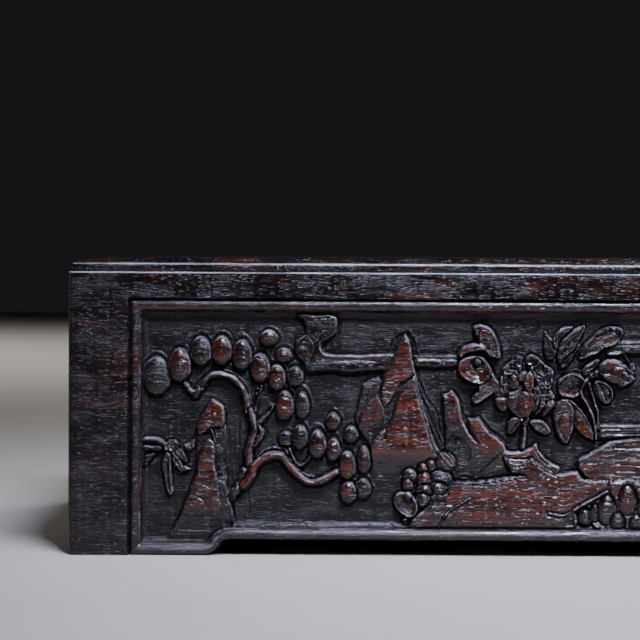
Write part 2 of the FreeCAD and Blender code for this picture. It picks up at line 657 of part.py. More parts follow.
def build_lid():
    """The lid board: a flat edge, a rounded shoulder, a level field, and housings for its cleats."""
    body = new_body("lid_board")
    plan = new_sketch(body, "XY_Plane")
    rectangle(plan, f"-{LID_HALF_LENGTH}", f"-{LID_HALF_DEPTH}", LID_HALF_LENGTH, LID_HALF_DEPTH)
    pad(body, plan, "lid_edge + lid_swell")
    line = new_sketch(body, "XY_Plane", "lid_edge")
    edge = f"-{LID_HALF_DEPTH}"
    draw(line, ("0", edge), (LID_HALF_LENGTH, edge), (LID_HALF_LENGTH, LID_HALF_DEPTH),
         (f"-{LID_HALF_LENGTH}", LID_HALF_DEPTH), (f"-{LID_HALF_LENGTH}", edge), ("0", edge))
    run_round(body, "SubtractivePipe", shoulder_section(new_sketch(body, "YZ_Plane")), line)
    for side in (-1, 1):
        middle = f"({side} * (box_length / 2 - cleat_inset))"
        housing = new_sketch(body, "XY_Plane")
        rectangle(housing, f"({middle} - cleat_width / 2)", f"-{cleat_half_depth()}",
                  f"({middle} + cleat_width / 2)", cleat_half_depth())
        pocket(body, housing, "cleat_housing", along_normal=True)
    half_length, half_depth = value(LID_HALF_LENGTH), value(LID_HALF_DEPTH)
    round_edges(
        body,
        "edge_round",
        lambda point: near(point.z, 0)
        and (near(abs(point.x), half_length) or near(abs(point.y), half_depth)),
    )
    place(body, z="rim_height")
    return body


def build_lip(label, length, turn, x="0", y="0"):
    """A lip strip under the lid, mitred at both ends. Its outer face is on Y = 0 before it turns."""
    half = f"({length} / 2 - wall_thick - lip_gap)"
    body = new_body(label)
    plan = new_sketch(body, "XY_Plane")
    draw(plan, (f"-{half}", "0"), (half, "0"), (f"({half} - lip_thick)", "lip_thick"),
         (f"-({half} - lip_thick)", "lip_thick"), (f"-{half}", "0"))
    pad(body, plan, "lip_height")
    place(body, x, y, "rim_height - lip_height", turn)
    return body


def build_cleat(label, side):
    """A cleat that keeps the lid flat, housed in its underside."""
    body = new_body(label)
    face = new_sketch(body, "XZ_Plane")
    half = "(cleat_width / 2 - fit_gap / 2)"
    rectangle(face, f"-{half}", "-cleat_height", half, "cleat_housing")
    pad(body, face, f"2 * ({cleat_half_depth()} - fit_gap)", both_ways=True)
    place(body, x=f"{side} * (box_length / 2 - cleat_inset)", z="rim_height")
    return body


# ---------------------------------------------------------------- assembly


def build_all():
    """Builds every piece, and returns them in the order of their making."""
    front, back = "-box_depth / 2", "box_depth / 2"
    left, right = "-box_length / 2", "box_length / 2"
    front_dado = (CROSS_PARTITION_LEFT, CROSS_PARTITION_RIGHT)
    right_dado = (LONG_PARTITION_FRONT, LONG_PARTITION_BACK)
    left_dado = (f"(0 - {LONG_PARTITION_BACK})", f"(0 - {LONG_PARTITION_FRONT})")
    lip_front = f"(0 - {INNER_HALF_DEPTH} + lip_gap)"
    lip_left = f"(0 - {INNER_HALF_LENGTH} + lip_gap)"
    pieces = [
        build_wall("front_board", "box_length", 0, LONG_CARVING, y=front, dado=front_dado),
        build_wall("right_board", "box_depth", 90, SHORT_CARVING, x=right, dado=right_dado),
        build_wall("back_board", "box_length", 180, LONG_CARVING, y=back, turned=True),
        build_wall("left_board", "box_depth", 270, SHORT_CARVING, x=left, dado=left_dado),
    ]
    for x_side, x_name in ((-1, "left"), (1, "right")):
        for y_side, y_name in ((-1, "front"), (1, "back")):
            pieces.append(build_tongue(f"mitre_tongue_{y_name}_{x_name}", x_side, y_side))
    pieces.append(build_floor())
    for side, name in ((-1, "left"), (1, "right")):
        pieces.append(build_batten(f"floor_batten_{name}", side))
    pieces += [build_long_partition(), build_cross_partition(), build_rack(), build_lid()]
    pieces += [
        build_lip("lid_lip_front", "box_length", 0, y=lip_front),
        build_lip("lid_lip_right", "box_depth", 90, x=f"(0 - {lip_left})"),
        build_lip("lid_lip_back", "box_length", 180, y=f"(0 - {lip_front})"),
        build_lip("lid_lip_left", "box_depth", 270, x=lip_left),
    ]
    for side, name in ((-1, "left"), (1, "right")):
        pieces.append(build_cleat(f"lid_cleat_{name}", side))
    return pieces


def check(pieces):
    """Stops the build if anything in the document failed, or a piece isn't one sound solid."""
    doc.recompute()
    for thing in doc.Objects:
        if {"Invalid", "Error"} & set(thing.State):
            raise RuntimeError(f"{thing.Label} failed: {thing.State}")
    for piece in pieces:
        shape = piece.Shape
        if shape.isNull() or not shape.isValid() or len(shape.Solids) != 1:
            raise RuntimeError(f"{piece.Label} isn't one valid solid")


pieces = build_all()
check(pieces)
os.makedirs("parts", exist_ok=True)
for piece in pieces:
    piece.Shape.exportStep(os.path.join("parts", f"{piece.Label}.step"))
    box = piece.Shape.BoundBox
    print(
        f"{piece.Label}: {piece.Shape.Volume / 1000:.1f} cm3, "
        f"x {box.XMin:.2f} {box.XMax:.2f}, y {box.YMin:.2f} {box.YMax:.2f}, "
        f"z {box.ZMin:.2f} {box.ZMax:.2f}"
    )
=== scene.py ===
"""The finished look of a carved hardwood box for an ink stone and ink sticks.

Each class below builds one sub-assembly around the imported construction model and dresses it. The four
walls are boards whose outer faces are carved: a Relief holds a wall's face as a field of heights, the
small carving classes (Lobe, Limb, Mass, Plate and Stitch) each cut one form into it, and CarvedWall
turns the field into a closed board. The carver's pattern is ruled in thirds of a millimetre from the
lower left corner of a wall, and heights are millimetres above the sunk ground.
"""

import json
import logging
import math
from dataclasses import dataclass, fields, replace
from enum import Enum
from typing import Sequence

import bmesh
import bpy
import numpy as np
from mathutils import Euler, Matrix, Vector

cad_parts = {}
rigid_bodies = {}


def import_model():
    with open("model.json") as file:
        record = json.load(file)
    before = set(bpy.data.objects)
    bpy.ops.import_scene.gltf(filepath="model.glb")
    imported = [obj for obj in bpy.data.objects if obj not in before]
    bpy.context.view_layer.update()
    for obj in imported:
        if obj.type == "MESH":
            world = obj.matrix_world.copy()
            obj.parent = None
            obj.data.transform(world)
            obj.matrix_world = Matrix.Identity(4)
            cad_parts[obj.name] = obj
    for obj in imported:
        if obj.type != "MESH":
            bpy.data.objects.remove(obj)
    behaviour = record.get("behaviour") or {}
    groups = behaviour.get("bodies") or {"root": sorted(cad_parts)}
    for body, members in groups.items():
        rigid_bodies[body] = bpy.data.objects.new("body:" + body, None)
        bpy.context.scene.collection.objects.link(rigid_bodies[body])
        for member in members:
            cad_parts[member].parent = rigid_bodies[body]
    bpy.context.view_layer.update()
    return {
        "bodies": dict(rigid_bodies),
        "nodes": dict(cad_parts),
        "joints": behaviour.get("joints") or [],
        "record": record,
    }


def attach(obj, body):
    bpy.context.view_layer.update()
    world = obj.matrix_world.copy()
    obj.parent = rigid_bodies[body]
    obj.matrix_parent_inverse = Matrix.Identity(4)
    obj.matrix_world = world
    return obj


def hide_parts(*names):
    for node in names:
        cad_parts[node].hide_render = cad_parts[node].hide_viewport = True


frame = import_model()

MM = 0.001
PER_MM = 3.0  # steps of the carver's pattern in a millimetre
KNIFE_EDGE = math.radians(42)  # cuts sharper than this keep a crisp arris
HAIR = 1e-6  # a hair's breadth in metres, for comparing places
HIGHEST = 3.85  # no carving stands higher above the ground than this, in mm
BOX_LENGTH = 316.0  # along the outside, in mm
BOX_DEPTH = 190.0
RIM_HEIGHT = 95.0  # feet to rim

Point = tuple[float, float]
Field = np.ndarray
Colour = tuple[float, float, float]
Place = tuple[float, float, float]
Stretch = tuple[float, float, float]
Tree = bpy.types.NodeTree
Socket = bpy.types.NodeSocket

log = logging.getLogger("ink_box")


# -------------------- plane geometry


def smoothstep(x: Field) -> Field:
    """Rises from 0 at x = 0 to 1 at x = 1, level at both ends."""
    x = np.clip(x, 0.0, 1.0)
    return x * x * (3.0 - 2.0 * x)


def soften(points: Sequence[Point], closed: bool = False, steps: int = 6) -> list[Point]:
    """Draws a smooth curve through points.

    Args:
        points: the points to pass through, in pattern steps.
        closed: whether the curve returns to its first point.
        steps: how many pieces each span becomes.

    Returns:
        The points of the curve.
    """
    knots = np.array(points, dtype=float)
    if closed:
        knots = np.vstack([knots[-1], knots, knots[0], knots[1]])
    else:
        knots = np.vstack([2 * knots[0] - knots[1], knots, 2 * knots[-1] - knots[-2]])
    t = np.linspace(0.0, 1.0, steps, endpoint=False)[:, None]
    spans = []
    for a, b, c, d in zip(knots[:-3], knots[1:-2], knots[2:-1], knots[3:]):
        bend = 2 * b + (c - a) * t + (2 * a - 5 * b + 4 * c - d) * t**2 + (3 * b - a - 3 * c + d) * t**3
        spans.append(bend / 2)
    curve = np.vstack(spans)
    if not closed:
        curve = np.vstack([curve, knots[-2]])
    return [tuple(point) for point in curve]


def along_path(u: Field, z: Field, path: Sequence[Point]) -> tuple[Field, Field, Field]:
    """Measures a field of points against a path.

    Args:
        u: the points' places along the wall.
        z: their heights on it.
        path: the path's points.

    Returns:
        The distance to the path, the share of its length passed at the nearest point, and which side
        of it the point lies on (1 on its left, -1 on its right).
    """
    knots = np.array(path, dtype=float)
    lengths = np.hypot(*(knots[1:] - knots[:-1]).T)
    total = lengths.sum()
    best = np.full(u.shape, np.inf)
    share = np.zeros(u.shape)
    side = np.ones(u.shape)
    passed = 0.0
    for (au, az), (bu, bz), length in zip(knots[:-1], knots[1:], lengths):
        du, dz = bu - au, bz - az
        t = np.clip(((u - au) * du + (z - az) * dz) / max(length * length, 1e-9), 0.0, 1.0)
        away_u, away_z = u - (au + t * du), z - (az + t * dz)
        gap = np.hypot(away_u, away_z)
        nearer = gap < best
        best = np.where(nearer, gap, best)
        share = np.where(nearer, (passed + t * length) / total, share)
        side = np.where(nearer, np.sign(du * away_z - dz * away_u + 1e-12), side)
        passed += length
    return best, share, side


def inside_outline(u: Field, z: Field, outline: Sequence[Point]) -> Field:
    """Measures a field of points against a closed outline.

    Args:
        u: the points' places along the wall.
        z: their heights on it.
        outline: the outline's points.

    Returns:
        The distance to the outline, positive inside it.
    """
    knots = list(outline)
    gap, _, _ = along_path(u, z, knots + knots[:1])
    odd = np.zeros(u.shape, dtype=bool)
    for (au, az), (bu, bz) in zip(knots, knots[1:] + knots[:1]):
        if az == bz:
            continue
        crosses = ((az > z) != (bz > z)) & (u < au + (z - az) * (bu - au) / (bz - az))
        odd ^= crosses
    return np.where(odd, gap, -gap)


def ripple(u: Field, z: Field, run: float, rise: float, seed: int) -> Field:
    """Draws smooth seeded unevenness.

    Args:
        u: places along the wall.
        z: heights on it.
        run: length of a wave along the wall.
        rise: height of a wave.
        seed: number that sets the pattern of the waves.

    Returns:
        The unevenness, between -1 and 1.
    """
    size = 64
    rng = np.random.default_rng(seed)
    table = rng.uniform(-1.0, 1.0, (size, size))
    x, y = u / run + seed * 0.37, z / rise + seed * 0.61
    ix, iy = np.floor(x).astype(int), np.floor(y).astype(int)
    fx, fy = smoothstep(x - ix), smoothstep(y - iy)
    ix, iy = ix % size, iy % size
    jx, jy = (ix + 1) % size, (iy + 1) % size
    low = table[iy, ix] * (1 - fx) + table[iy, jx] * fx
    high = table[jy, ix] * (1 - fx) + table[jy, jx] * fx
    return low * (1 - fy) + high * fy


def hump(x: Field, middle: float, half: float) -> Field:
    """A smooth hump of height 1 round one value."""
    return np.exp(-(((x - middle) / half) ** 2))


@dataclass(frozen=True)
class Waver:
    """One kind of unevenness: how deep it is, and how long and how high its waves are."""

    depth: float
    run: float
    rise: float

    def at(self, u: Field, z: Field, seed: int) -> Field:
        """The unevenness at some points."""
        return self.depth * ripple(u, z, self.run, self.rise, seed)


# -------------------- the carved face


@dataclass(frozen=True)
class Moulding:
    """The framed field of a wall, in millimetres as the construction model has it.

    Attributes:
        stile: outer corner to the moulding.
        rail: rim to the moulding.
        depth: face of the frame to the sunk ground.
        trim: width of the quirk that the feet and the apron cut away.
        foot: outer corner to where the foot starts to rise.
        rise: feet to the underside of the apron.
        ogee_foot: lower radius of the ogee.
        ogee_crest: upper radius of the ogee.
        wall: thickness of the board.
        corner: radius of the upright outer corners.
        rim: radius of the rim's outer edge.
        section: height above the ground at distances in from the moulding's edge: its quirk, its bead
            and its cove.
    """

    stile: float = 20.0
    rail: float = 8.8
    depth: float = 4.0
    trim: float = 0.35
    foot: float = 45.0
    rise: float = 5.3
    ogee_foot: float = 7.4
    ogee_crest: float = 3.0
    wall: float = 14.0
    corner: float = 1.8
    rim: float = 0.5
    section: tuple[Point, ...] = (
        (0.0, 4.0), (0.3, 2.7), (0.62, 2.55), (0.8, 2.9), (1.0, 3.35), (1.45, 3.66), (2.1, 3.8),
        (2.9, 3.66), (3.6, 3.25), (4.1, 2.6), (4.28, 1.95), (4.7, 1.2), (5.4, 0.45), (6.4, 0.0),
    )

    def ogee_run(self) -> float:
        """How far the ogee runs along the wall."""
        total = self.ogee_foot + self.ogee_crest
        return math.sqrt(2 * self.rise * total - self.rise * self.rise)

    def lower_edge(self, u: Field, length: float) -> Field:
        """Height of the wall's true lower edge above the feet.

        Args:
            u: places along the wall, in mm from its left end.
            length: the wall's length in mm.

        Returns:
            The height there, in mm.
        """
        inward = np.minimum(u, length - u) - self.foot
        run = self.ogee_run()
        share = self.ogee_foot / (self.ogee_foot + self.ogee_crest)
        first_run = np.clip(inward, 0, run * share)
        first = self.ogee_foot - np.sqrt(np.maximum(self.ogee_foot**2 - first_run**2, 0))
        left = np.clip(run - inward, 0, run * (1 - share))
        second = self.rise - self.ogee_crest + np.sqrt(np.maximum(self.ogee_crest**2 - left**2, 0))
        ogee = np.where(inward < run * share, first, second)
        return np.where(inward <= 0, 0.0, np.where(inward < run, ogee, self.rise))


class Relief:
    """A wall's outer face as a field of heights.

    Attributes:
        u: each point's place along the wall, in pattern steps from its left end.
        z: each point's height on the wall, in pattern steps above the feet.
        h: each point's height above the sunk ground, in mm.
        warm: how much of the red-brown wood shows at each point, 0 to 1.
        inward: each point's distance in from the moulding's outer edge, in mm.
        frame_mask: 1 on the frame and the moulding, 0 on the ground.
    """

    ROUND_STEPS = (0.0, 0.12, 0.26, 0.42, 0.62, 0.82)  # shares of a rounded corner that get a column
    RIM_STEPS = (1.0, 0.7, 0.45, 0.22, 0.07, 0.0)  # shares of the rounded rim that get a row
    STILE_COLUMNS = 24
    STILE_MARGIN = 1.5  # part of a stile that is measured as finely as the field, in mm
    COARSER = 1.8  # how much farther apart the columns stand past the finest carving
    ROW_GAP = 0.1  # least distance from a plain row to the rounded rim, in mm
    KNEE = 12.0  # height up to which the rows follow the wall's lower edge, in mm
    SHIFT = 6.0  # no row is lifted farther than this, in mm
    FOOT_BAND = 24.0  # height up to which the feet may bend the moulding, in mm
    OVERRUN = 30.0  # how far its line is drawn on past the stiles, in pattern steps
    FULL_SCOOP = 0.15  # depth from which a scoop has its whole lip and shade, in mm
    LIP = 0.10  # height of the lip at a scoop's edge, in mm
    LIP_HALF = 0.8  # half its width, in steps
    SCOOP_SHADE = 0.8  # how much of the red-brown a scoop cuts away
    SPILL = 0.25  # share of a form's rounded side that lies outside its outline
    DRIFT = Waver(0.05, 26.0, 26.0)  # of the moulding's line, as a share of the distance in
    GROUND_SWELL = Waver(0.10, 30.0, 11.0)
    TOOL_MARKS = Waver(0.05, 8.0, 3.4)
    FRAME_SWELL = Waver(0.05, 60.0, 24.0)
    NOTCHES = Waver(1.0, 15.0, 1.8)  # where the open grain has broken out
    NOTCH_DEPTH = 0.14

    def __init__(self, length: float, height: float, pitch: float, fine: float, moulding: Moulding) -> None:
        """Lays out the points of a face and cuts its sunk field.

        Args:
            length: the wall's length in mm.
            height: feet to rim in mm.
            pitch: distance between points in mm.
            fine: how far from the left end the finest carving reaches, in mm.
            moulding: the frame round the field.
        """
        self.length, self.height, self.moulding = length, height, moulding
        nip = moulding.corner * (1 - math.sqrt(0.5))
        bend = nip + (moulding.corner - nip) * np.array(self.ROUND_STEPS)
        first = moulding.stile - self.STILE_MARGIN
        last = length - first
        plain = np.linspace(moulding.corner, first, self.STILE_COLUMNS, endpoint=False)
        fine = min(fine, last)
        near = np.arange(first, fine, pitch)
        far = np.arange(fine, last, pitch * self.COARSER)
        carved = np.concatenate([near, far])
        columns = np.concatenate([bend, plain, carved, length - plain[::-1], length - bend[::-1]])
        rows = np.arange(0.0, height - moulding.rim, pitch)
        lip = height - moulding.rim * np.array(self.RIM_STEPS)
        rows = np.concatenate([rows[rows < lip[0] - self.ROW_GAP], lip])
        u, z = np.meshgrid(columns, rows)
        low = moulding.lower_edge(u, length)
        z = np.where(z < self.KNEE, low + z * (self.KNEE - low) / self.KNEE, z)
        self.columns, self.rows = columns * PER_MM, rows * PER_MM
        self.u, self.z = u * PER_MM, z * PER_MM
        self.h = np.zeros(u.shape)
        self.warm = np.zeros(u.shape)
        self.cut_field()

    def window(self, low: Point, high: Point, margin: float = 8.0) -> tuple[slice, slice]:
        """Finds the part of the field that holds a rectangle.

        Args:
            low: the rectangle's lower left corner.
            high: its upper right corner.
            margin: how much is taken in all round.

        Returns:
            The rows and the columns.
        """
        skew = self.SHIFT * PER_MM
        first_u, last_u = np.searchsorted(self.columns, (low[0] - margin, high[0] + margin))
        first_z, last_z = np.searchsorted(self.rows, (low[1] - margin - skew, high[1] + margin))
        return slice(max(first_z, 0), last_z), slice(max(first_u, 0), last_u)

    def around(self, points: Sequence[Point], margin: float = 8.0) -> tuple[slice, slice]:
        """The part of the field that holds some points and a margin round them."""
        us, zs = [point[0] for point in points], [point[1] for point in points]
        return self.window((min(us), min(zs)), (max(us), max(zs)), margin)

    def lay(self, spot: tuple[slice, slice], inside: Field, surface: Field, warm: float | Field = 0.5,
            wall: float = 2.0, halo: float | Field = 0.0, reach: float = 5.0) -> None:
        """Lays one form over what is there, in a scoop cut round it.

        Args:
            spot: the part of the field to work in.
            inside: signed distance inside the form's outline, in pattern steps.
            surface: the form's own heights in mm.
            warm: how red-brown the form is.
            wall: width of the form's rounded side, in pattern steps.
            halo: depth of the scoop, in mm.
            reach: how far out the scoop's lip lies, in pattern steps.
        """
        ground, tone = self.h[spot], self.warm[spot]
        if np.any(halo):
            outward = np.maximum(-inside, 0.0)
            full = np.minimum(halo / self.FULL_SCOOP, 1.0)
            scoop = np.clip(1 - outward / reach, 0, 1)
            lip = full * hump(outward, reach, self.LIP_HALF)
            ground = ground - halo * scoop * (inside < 1.0) + self.LIP * lip * (inside < -1.0)
            tone = tone * (1 - self.SCOOP_SHADE * full * (scoop > 0))
        t = np.clip(inside / wall + self.SPILL, 0.0, 1.0)
        share = np.sqrt(np.maximum(1 - (1 - t) ** 2, 0.0))
        self.h[spot] = ground * (1 - share) + surface * share
        self.warm[spot] = tone * (1 - share) + warm * share

    def cut_field(self) -> None:
        """Cuts the sunk field, the bead and the cove that frame it."""
        mould = self.moulding
        top = (self.height - mould.rail) * PER_MM
        left, right = mould.stile * PER_MM, (self.length - mould.stile) * PER_MM
        inward = np.minimum(np.minimum(self.u - left, right - self.u), top - self.z)
        low_rows = self.rows < self.FOOT_BAND * PER_MM
        straight = np.linspace(mould.stile, mould.foot, 4, endpoint=False)
        ogee = np.linspace(mould.foot, mould.foot + mould.ogee_run(), 28)
        us = np.concatenate([straight, ogee])
        us = np.concatenate([us, self.length - us[::-1]])
        edge = mould.lower_edge(us, self.length) - mould.trim
        line = [(a * PER_MM, b * PER_MM) for a, b in zip(us, edge)]
        line = [(left - self.OVERRUN, line[0][1])] + line + [(right + self.OVERRUN, line[-1][1])]
        gap, _, side = along_path(self.u[low_rows], self.z[low_rows], line)
        inward[low_rows] = np.minimum(inward[low_rows], gap * side)
        d = inward / PER_MM
        section = np.array(mould.section)
        unsteady = 1 + self.DRIFT.at(self.u, self.z, 5)
        self.h = np.interp(d * unsteady, section[:, 0], section[:, 1])
        self.frame_mask = smoothstep((section[-1, 0] - d) / 0.6)
        self.inward = d

    def weather(self, seed: int) -> None:
        """Adds the unevenness of hand work and of open grain.

        Args:
            seed: number that sets it.
        """
        u, z = self.u, self.z
        ground = 1 - smoothstep(self.h / 0.8)
        carved = 1 - self.frame_mask
        self.h += self.GROUND_SWELL.at(u, z, seed) * ground
        self.h += self.TOOL_MARKS.at(u, z, seed + 1) * carved
        self.h += self.FRAME_SWELL.at(u, z, seed + 3) * self.frame_mask
        notch = self.NOTCHES.at(u, z, seed + 4)
        self.h -= self.NOTCH_DEPTH * smoothstep((notch - 0.6) / 0.3) * (0.3 + 0.7 * carved)

    def depth(self) -> Field:
        """Measures the finished face.

        Returns:
            How far each point lies behind the plane of the frame, in mm.
        """
        mould = self.moulding
        end = np.minimum(self.u, self.length * PER_MM - self.u) / PER_MM
        corner = np.clip(mould.corner - end, 0.0, mould.corner)
        rounding = mould.corner - np.sqrt(np.maximum(mould.corner**2 - corner**2, 0.0))
        rim = np.clip(self.z / PER_MM - (self.height - mould.rim), 0.0, mould.rim)
        lip = mould.rim - np.sqrt(np.maximum(mould.rim**2 - rim**2, 0.0))
        sunk = np.maximum(mould.depth - self.h, 0.0)
        keep = smoothstep((end - mould.corner) / 2.0)
        return sunk * keep + rounding + lip


class Form:
    """Anything that is carved on a face."""

    def carve(self, relief: Relief) -> None:
        """Cuts the form into a face."""
        raise NotImplementedError


def moved(form: object, along: float = 0.0, up: float = 0.0, mirror: bool = False) -> object:
    """Copies a form to another place on a face.

    Args:
        form: the form, or one of its cuts.
        along: how far it moves along the wall, after any mirroring about the wall's left end.
        up: how far it moves up.
        mirror: whether it is turned left for right.

    Returns:
        The copy.
    """
    sign = -1.0 if mirror else 1.0
    changes = {}
    for item in fields(form):
        value = getattr(form, item.name)
        if item.name in ("path", "outline"):
            changes[item.name] = tuple((sign * u + along, z + up) for u, z in value)
        elif item.name == "cuts":
            changes[item.name] = tuple(moved(part, along, up, mirror) for part in value)
        elif item.name == "u":
            changes["u"] = sign * value + along
        elif item.name == "z":
            changes["z"] = value + up
        elif item.name == "lean":
            changes["lean"] = sign * value
    return replace(form, **changes)


@dataclass(frozen=True)
class Lobe(Form):
    """One egg-shaped pad of a pine's foliage, with a line or two cut round its head.

    Attributes:
        u: its middle along the wall.
        z: its middle's height.
        half_u: half its width.
        half_z: half its height.
        rise: how high its crown stands, in mm.
        warm: how red-brown it is.
        floor: how high its edge stands, in mm.
        cracks: how many cracks run across it.
    """

    u: float
    z: float
    half_u: float
    half_z: float
    rise: float = 3.4
    warm: float = 0.6
    floor: float = 0.9
    cracks: int = 3

    def carve(self, relief: Relief) -> None:
        """Cuts the pad, the lines round its head, and the cracks across it.

        Args:
            relief: the face.
        """
        low = (self.u - self.half_u, self.z - self.half_z)
        high = (self.u + self.half_u, self.z + self.half_z)
        spot = relief.window(low, high, 12.0)
        u, z = relief.u[spot], relief.z[spot]
        across, up = (u - self.u) / (self.half_u + 1.0), (z - self.z) / (self.half_z + 1.0)
        across = across * (1 + 0.12 * up)
        r = np.hypot(across, up)
        inside = (1 - r) * min(self.half_u, self.half_z) * 1.15
        head = smoothstep((up / np.maximum(r, 0.2) + 0.35) / 0.7)
        outward = np.maximum(-inside, 0)
        broken = 0.6 + 0.8 * ripple(u, z, 3.0, 3.0, 31)
        rings = 0.34 * hump(outward, 3.8, 0.6) - 0.20 * hump(outward, 5.0, 0.7)
        rings = rings * np.clip(broken, 0, 1)
        low_ground = relief.h[spot] < 1.2
        relief.h[spot] += rings * head * low_ground * (inside < 0)
        dome = np.sqrt(np.maximum(1 - np.minimum(r, 1) ** 2.1, 0))
        surface = self.floor + (self.rise - self.floor) * dome
        seed = self.u * 0.7 + self.z * 1.3
        for index in range(self.cracks):
            level = -0.35 + 0.42 * index + 0.16 * math.sin(seed + index * 2.1)
            bow = level + 0.06 * np.sin(across * 3.0 + seed) + 0.05 * ripple(u, z, 3.0, 3.0, 40 + index)
            ends = smoothstep((0.85 - np.abs(across + 0.3 * math.sin(seed * 1.7 + index))) / 0.3)
            surface = surface - 0.26 * np.clip(1 - np.abs(up - bow) * self.half_z / 0.9, 0, 1) * ends
        tone = self.warm * smoothstep((1.02 - r) / 0.45)
        relief.lay(spot, inside, surface, tone, wall=1.6, halo=0.42, reach=2.6)


@dataclass(frozen=True)
class Limb(Form):
    """A branch, root or stem: a rounded ridge along a curve.

    Attributes:
        path: the points of its curve.
        start: half its width where it starts.
        end: half its width where it ends.
        rise: how high it stands, in mm.
        bark: depth of the twisted lines on it, in mm.
        halo: depth of the scoop beside it, in mm.
        warm: how red-brown it is.
    """

    path: tuple[Point, ...]
    start: float = 3.8
    end: float = 3.4
    rise: float = 2.9
    bark: float = 0.16
    halo: float = 0.4
    warm: float = 0.55

    def carve(self, relief: Relief) -> None:
        """Cuts the ridge and the lines of its bark.

        Args:
            relief: the face.
        """
        line = soften(self.path)
        spot = relief.around(line, margin=10.0)
        u, z = relief.u[spot], relief.z[spot]
        gap, share, side = along_path(u, z, line)
        half = self.start + (self.end - self.start) * share
        half = half * (1 + 0.10 * np.sin(share * 23.0 + self.path[0][0]))
        t = np.clip(gap / half, 0, 1)
        surface = 0.7 + (self.rise - 0.7) * np.sqrt(np.maximum(1 - t**2.2, 0))
        twist = np.sin(side * t * 5.5 + share * 17.0)
        surface -= self.bark * smoothstep((twist - 0.4) / 0.5)
        relief.lay(spot, half - gap, surface, self.warm * (1 - t**4), wall=1.6, halo=self.halo, reach=3.2)


@dataclass(frozen=True)
class Cut:
    """A line cut with a parting tool.

    Attributes:
        path: the points of its line.
        depth: its depth in mm.
        width: how far it reaches to either side, in steps.
        curved: whether the line is drawn as a smooth curve.
    """

    path: tuple[Point, ...]
    depth: float = 0.7
    width: float = 1.5
    curved: bool = True

    def height(self, u: Field, z: Field) -> Field:
        """Measures what the cut takes away.

        Args:
            u: the points' places along the wall.
            z: their heights on it.

        Returns:
            The change of height there in mm, below zero.
        """
        line = soften(self.path) if self.curved and len(self.path) > 2 else self.path
        gap, share, _ = along_path(u, z, line)
        taper = 0.35 + 0.65 * np.sqrt(np.maximum(np.sin(np.pi * np.clip(share, 0.02, 0.98)), 0))
        return -self.depth * taper * np.clip(1 - gap / self.width, 0, 1)


def lined(
    cuts: Sequence[Cut], u: Field, z: Field, surface: Field, tone: float | Field
) -> tuple[Field, float | Field]:
    """Cuts lines into a form.

    Args:
        cuts: the lines.
        u: the points' places along the wall.
        z: their heights on it.
        surface: the form's heights in mm.
        tone: how red-brown it is.

    Returns:
        Its heights and how red-brown it is, with the lines in it.
    """
    for cut in cuts:
        groove = cut.height(u, z)
        surface = surface + groove
        tone = tone * (1 - 0.8 * np.clip(-groove / 0.5, 0, 1))
    return surface, tone


@dataclass(frozen=True)
class Mass(Form):
    """A cloud: a closed outline with bevelled sides and cuts on it.

    Attributes:
        outline: its edge.
        top: its height in mm.
        bevel: how far in from the edge it reaches that height.
        foot: its height at the edge, in mm.
        cuts: the lines cut into it.
        soft: whether its outline is drawn as a smooth curve.
        halo: depth of the scoop round it, in mm.
        reach: how far out that scoop goes.
        warm: how red-brown it is.
    """

    outline: tuple[Point, ...]
    top: float
    bevel: float = 3.0
    foot: float = 1.0
    cuts: tuple[Cut, ...] = ()
    soft: bool = False
    halo: float = 0.5
    reach: float = 5.0
    warm: float = 0.65

    def carve(self, relief: Relief) -> None:
        """Cuts the mass, then its lines.

        Args:
            relief: the face.
        """
        outline = soften(self.outline, closed=True) if self.soft else self.outline
        spot = relief.around(outline, margin=10.0)
        u, z = relief.u[spot], relief.z[spot]
        waver = 0.35 * ripple(u, z, 5.0, 5.0, int(self.outline[0][0]) + 3)
        inside = inside_outline(u, z, outline) + waver
        edge = np.clip(inside / self.bevel, 0, 1)
        edge = np.sqrt(edge) if self.soft else edge
        surface = self.foot + (self.top - self.foot) * edge
        surface, tone = lined(self.cuts, u, z, surface, self.warm)
        relief.lay(spot, inside, np.minimum(surface, HIGHEST), tone, 1.8, self.halo, self.reach)


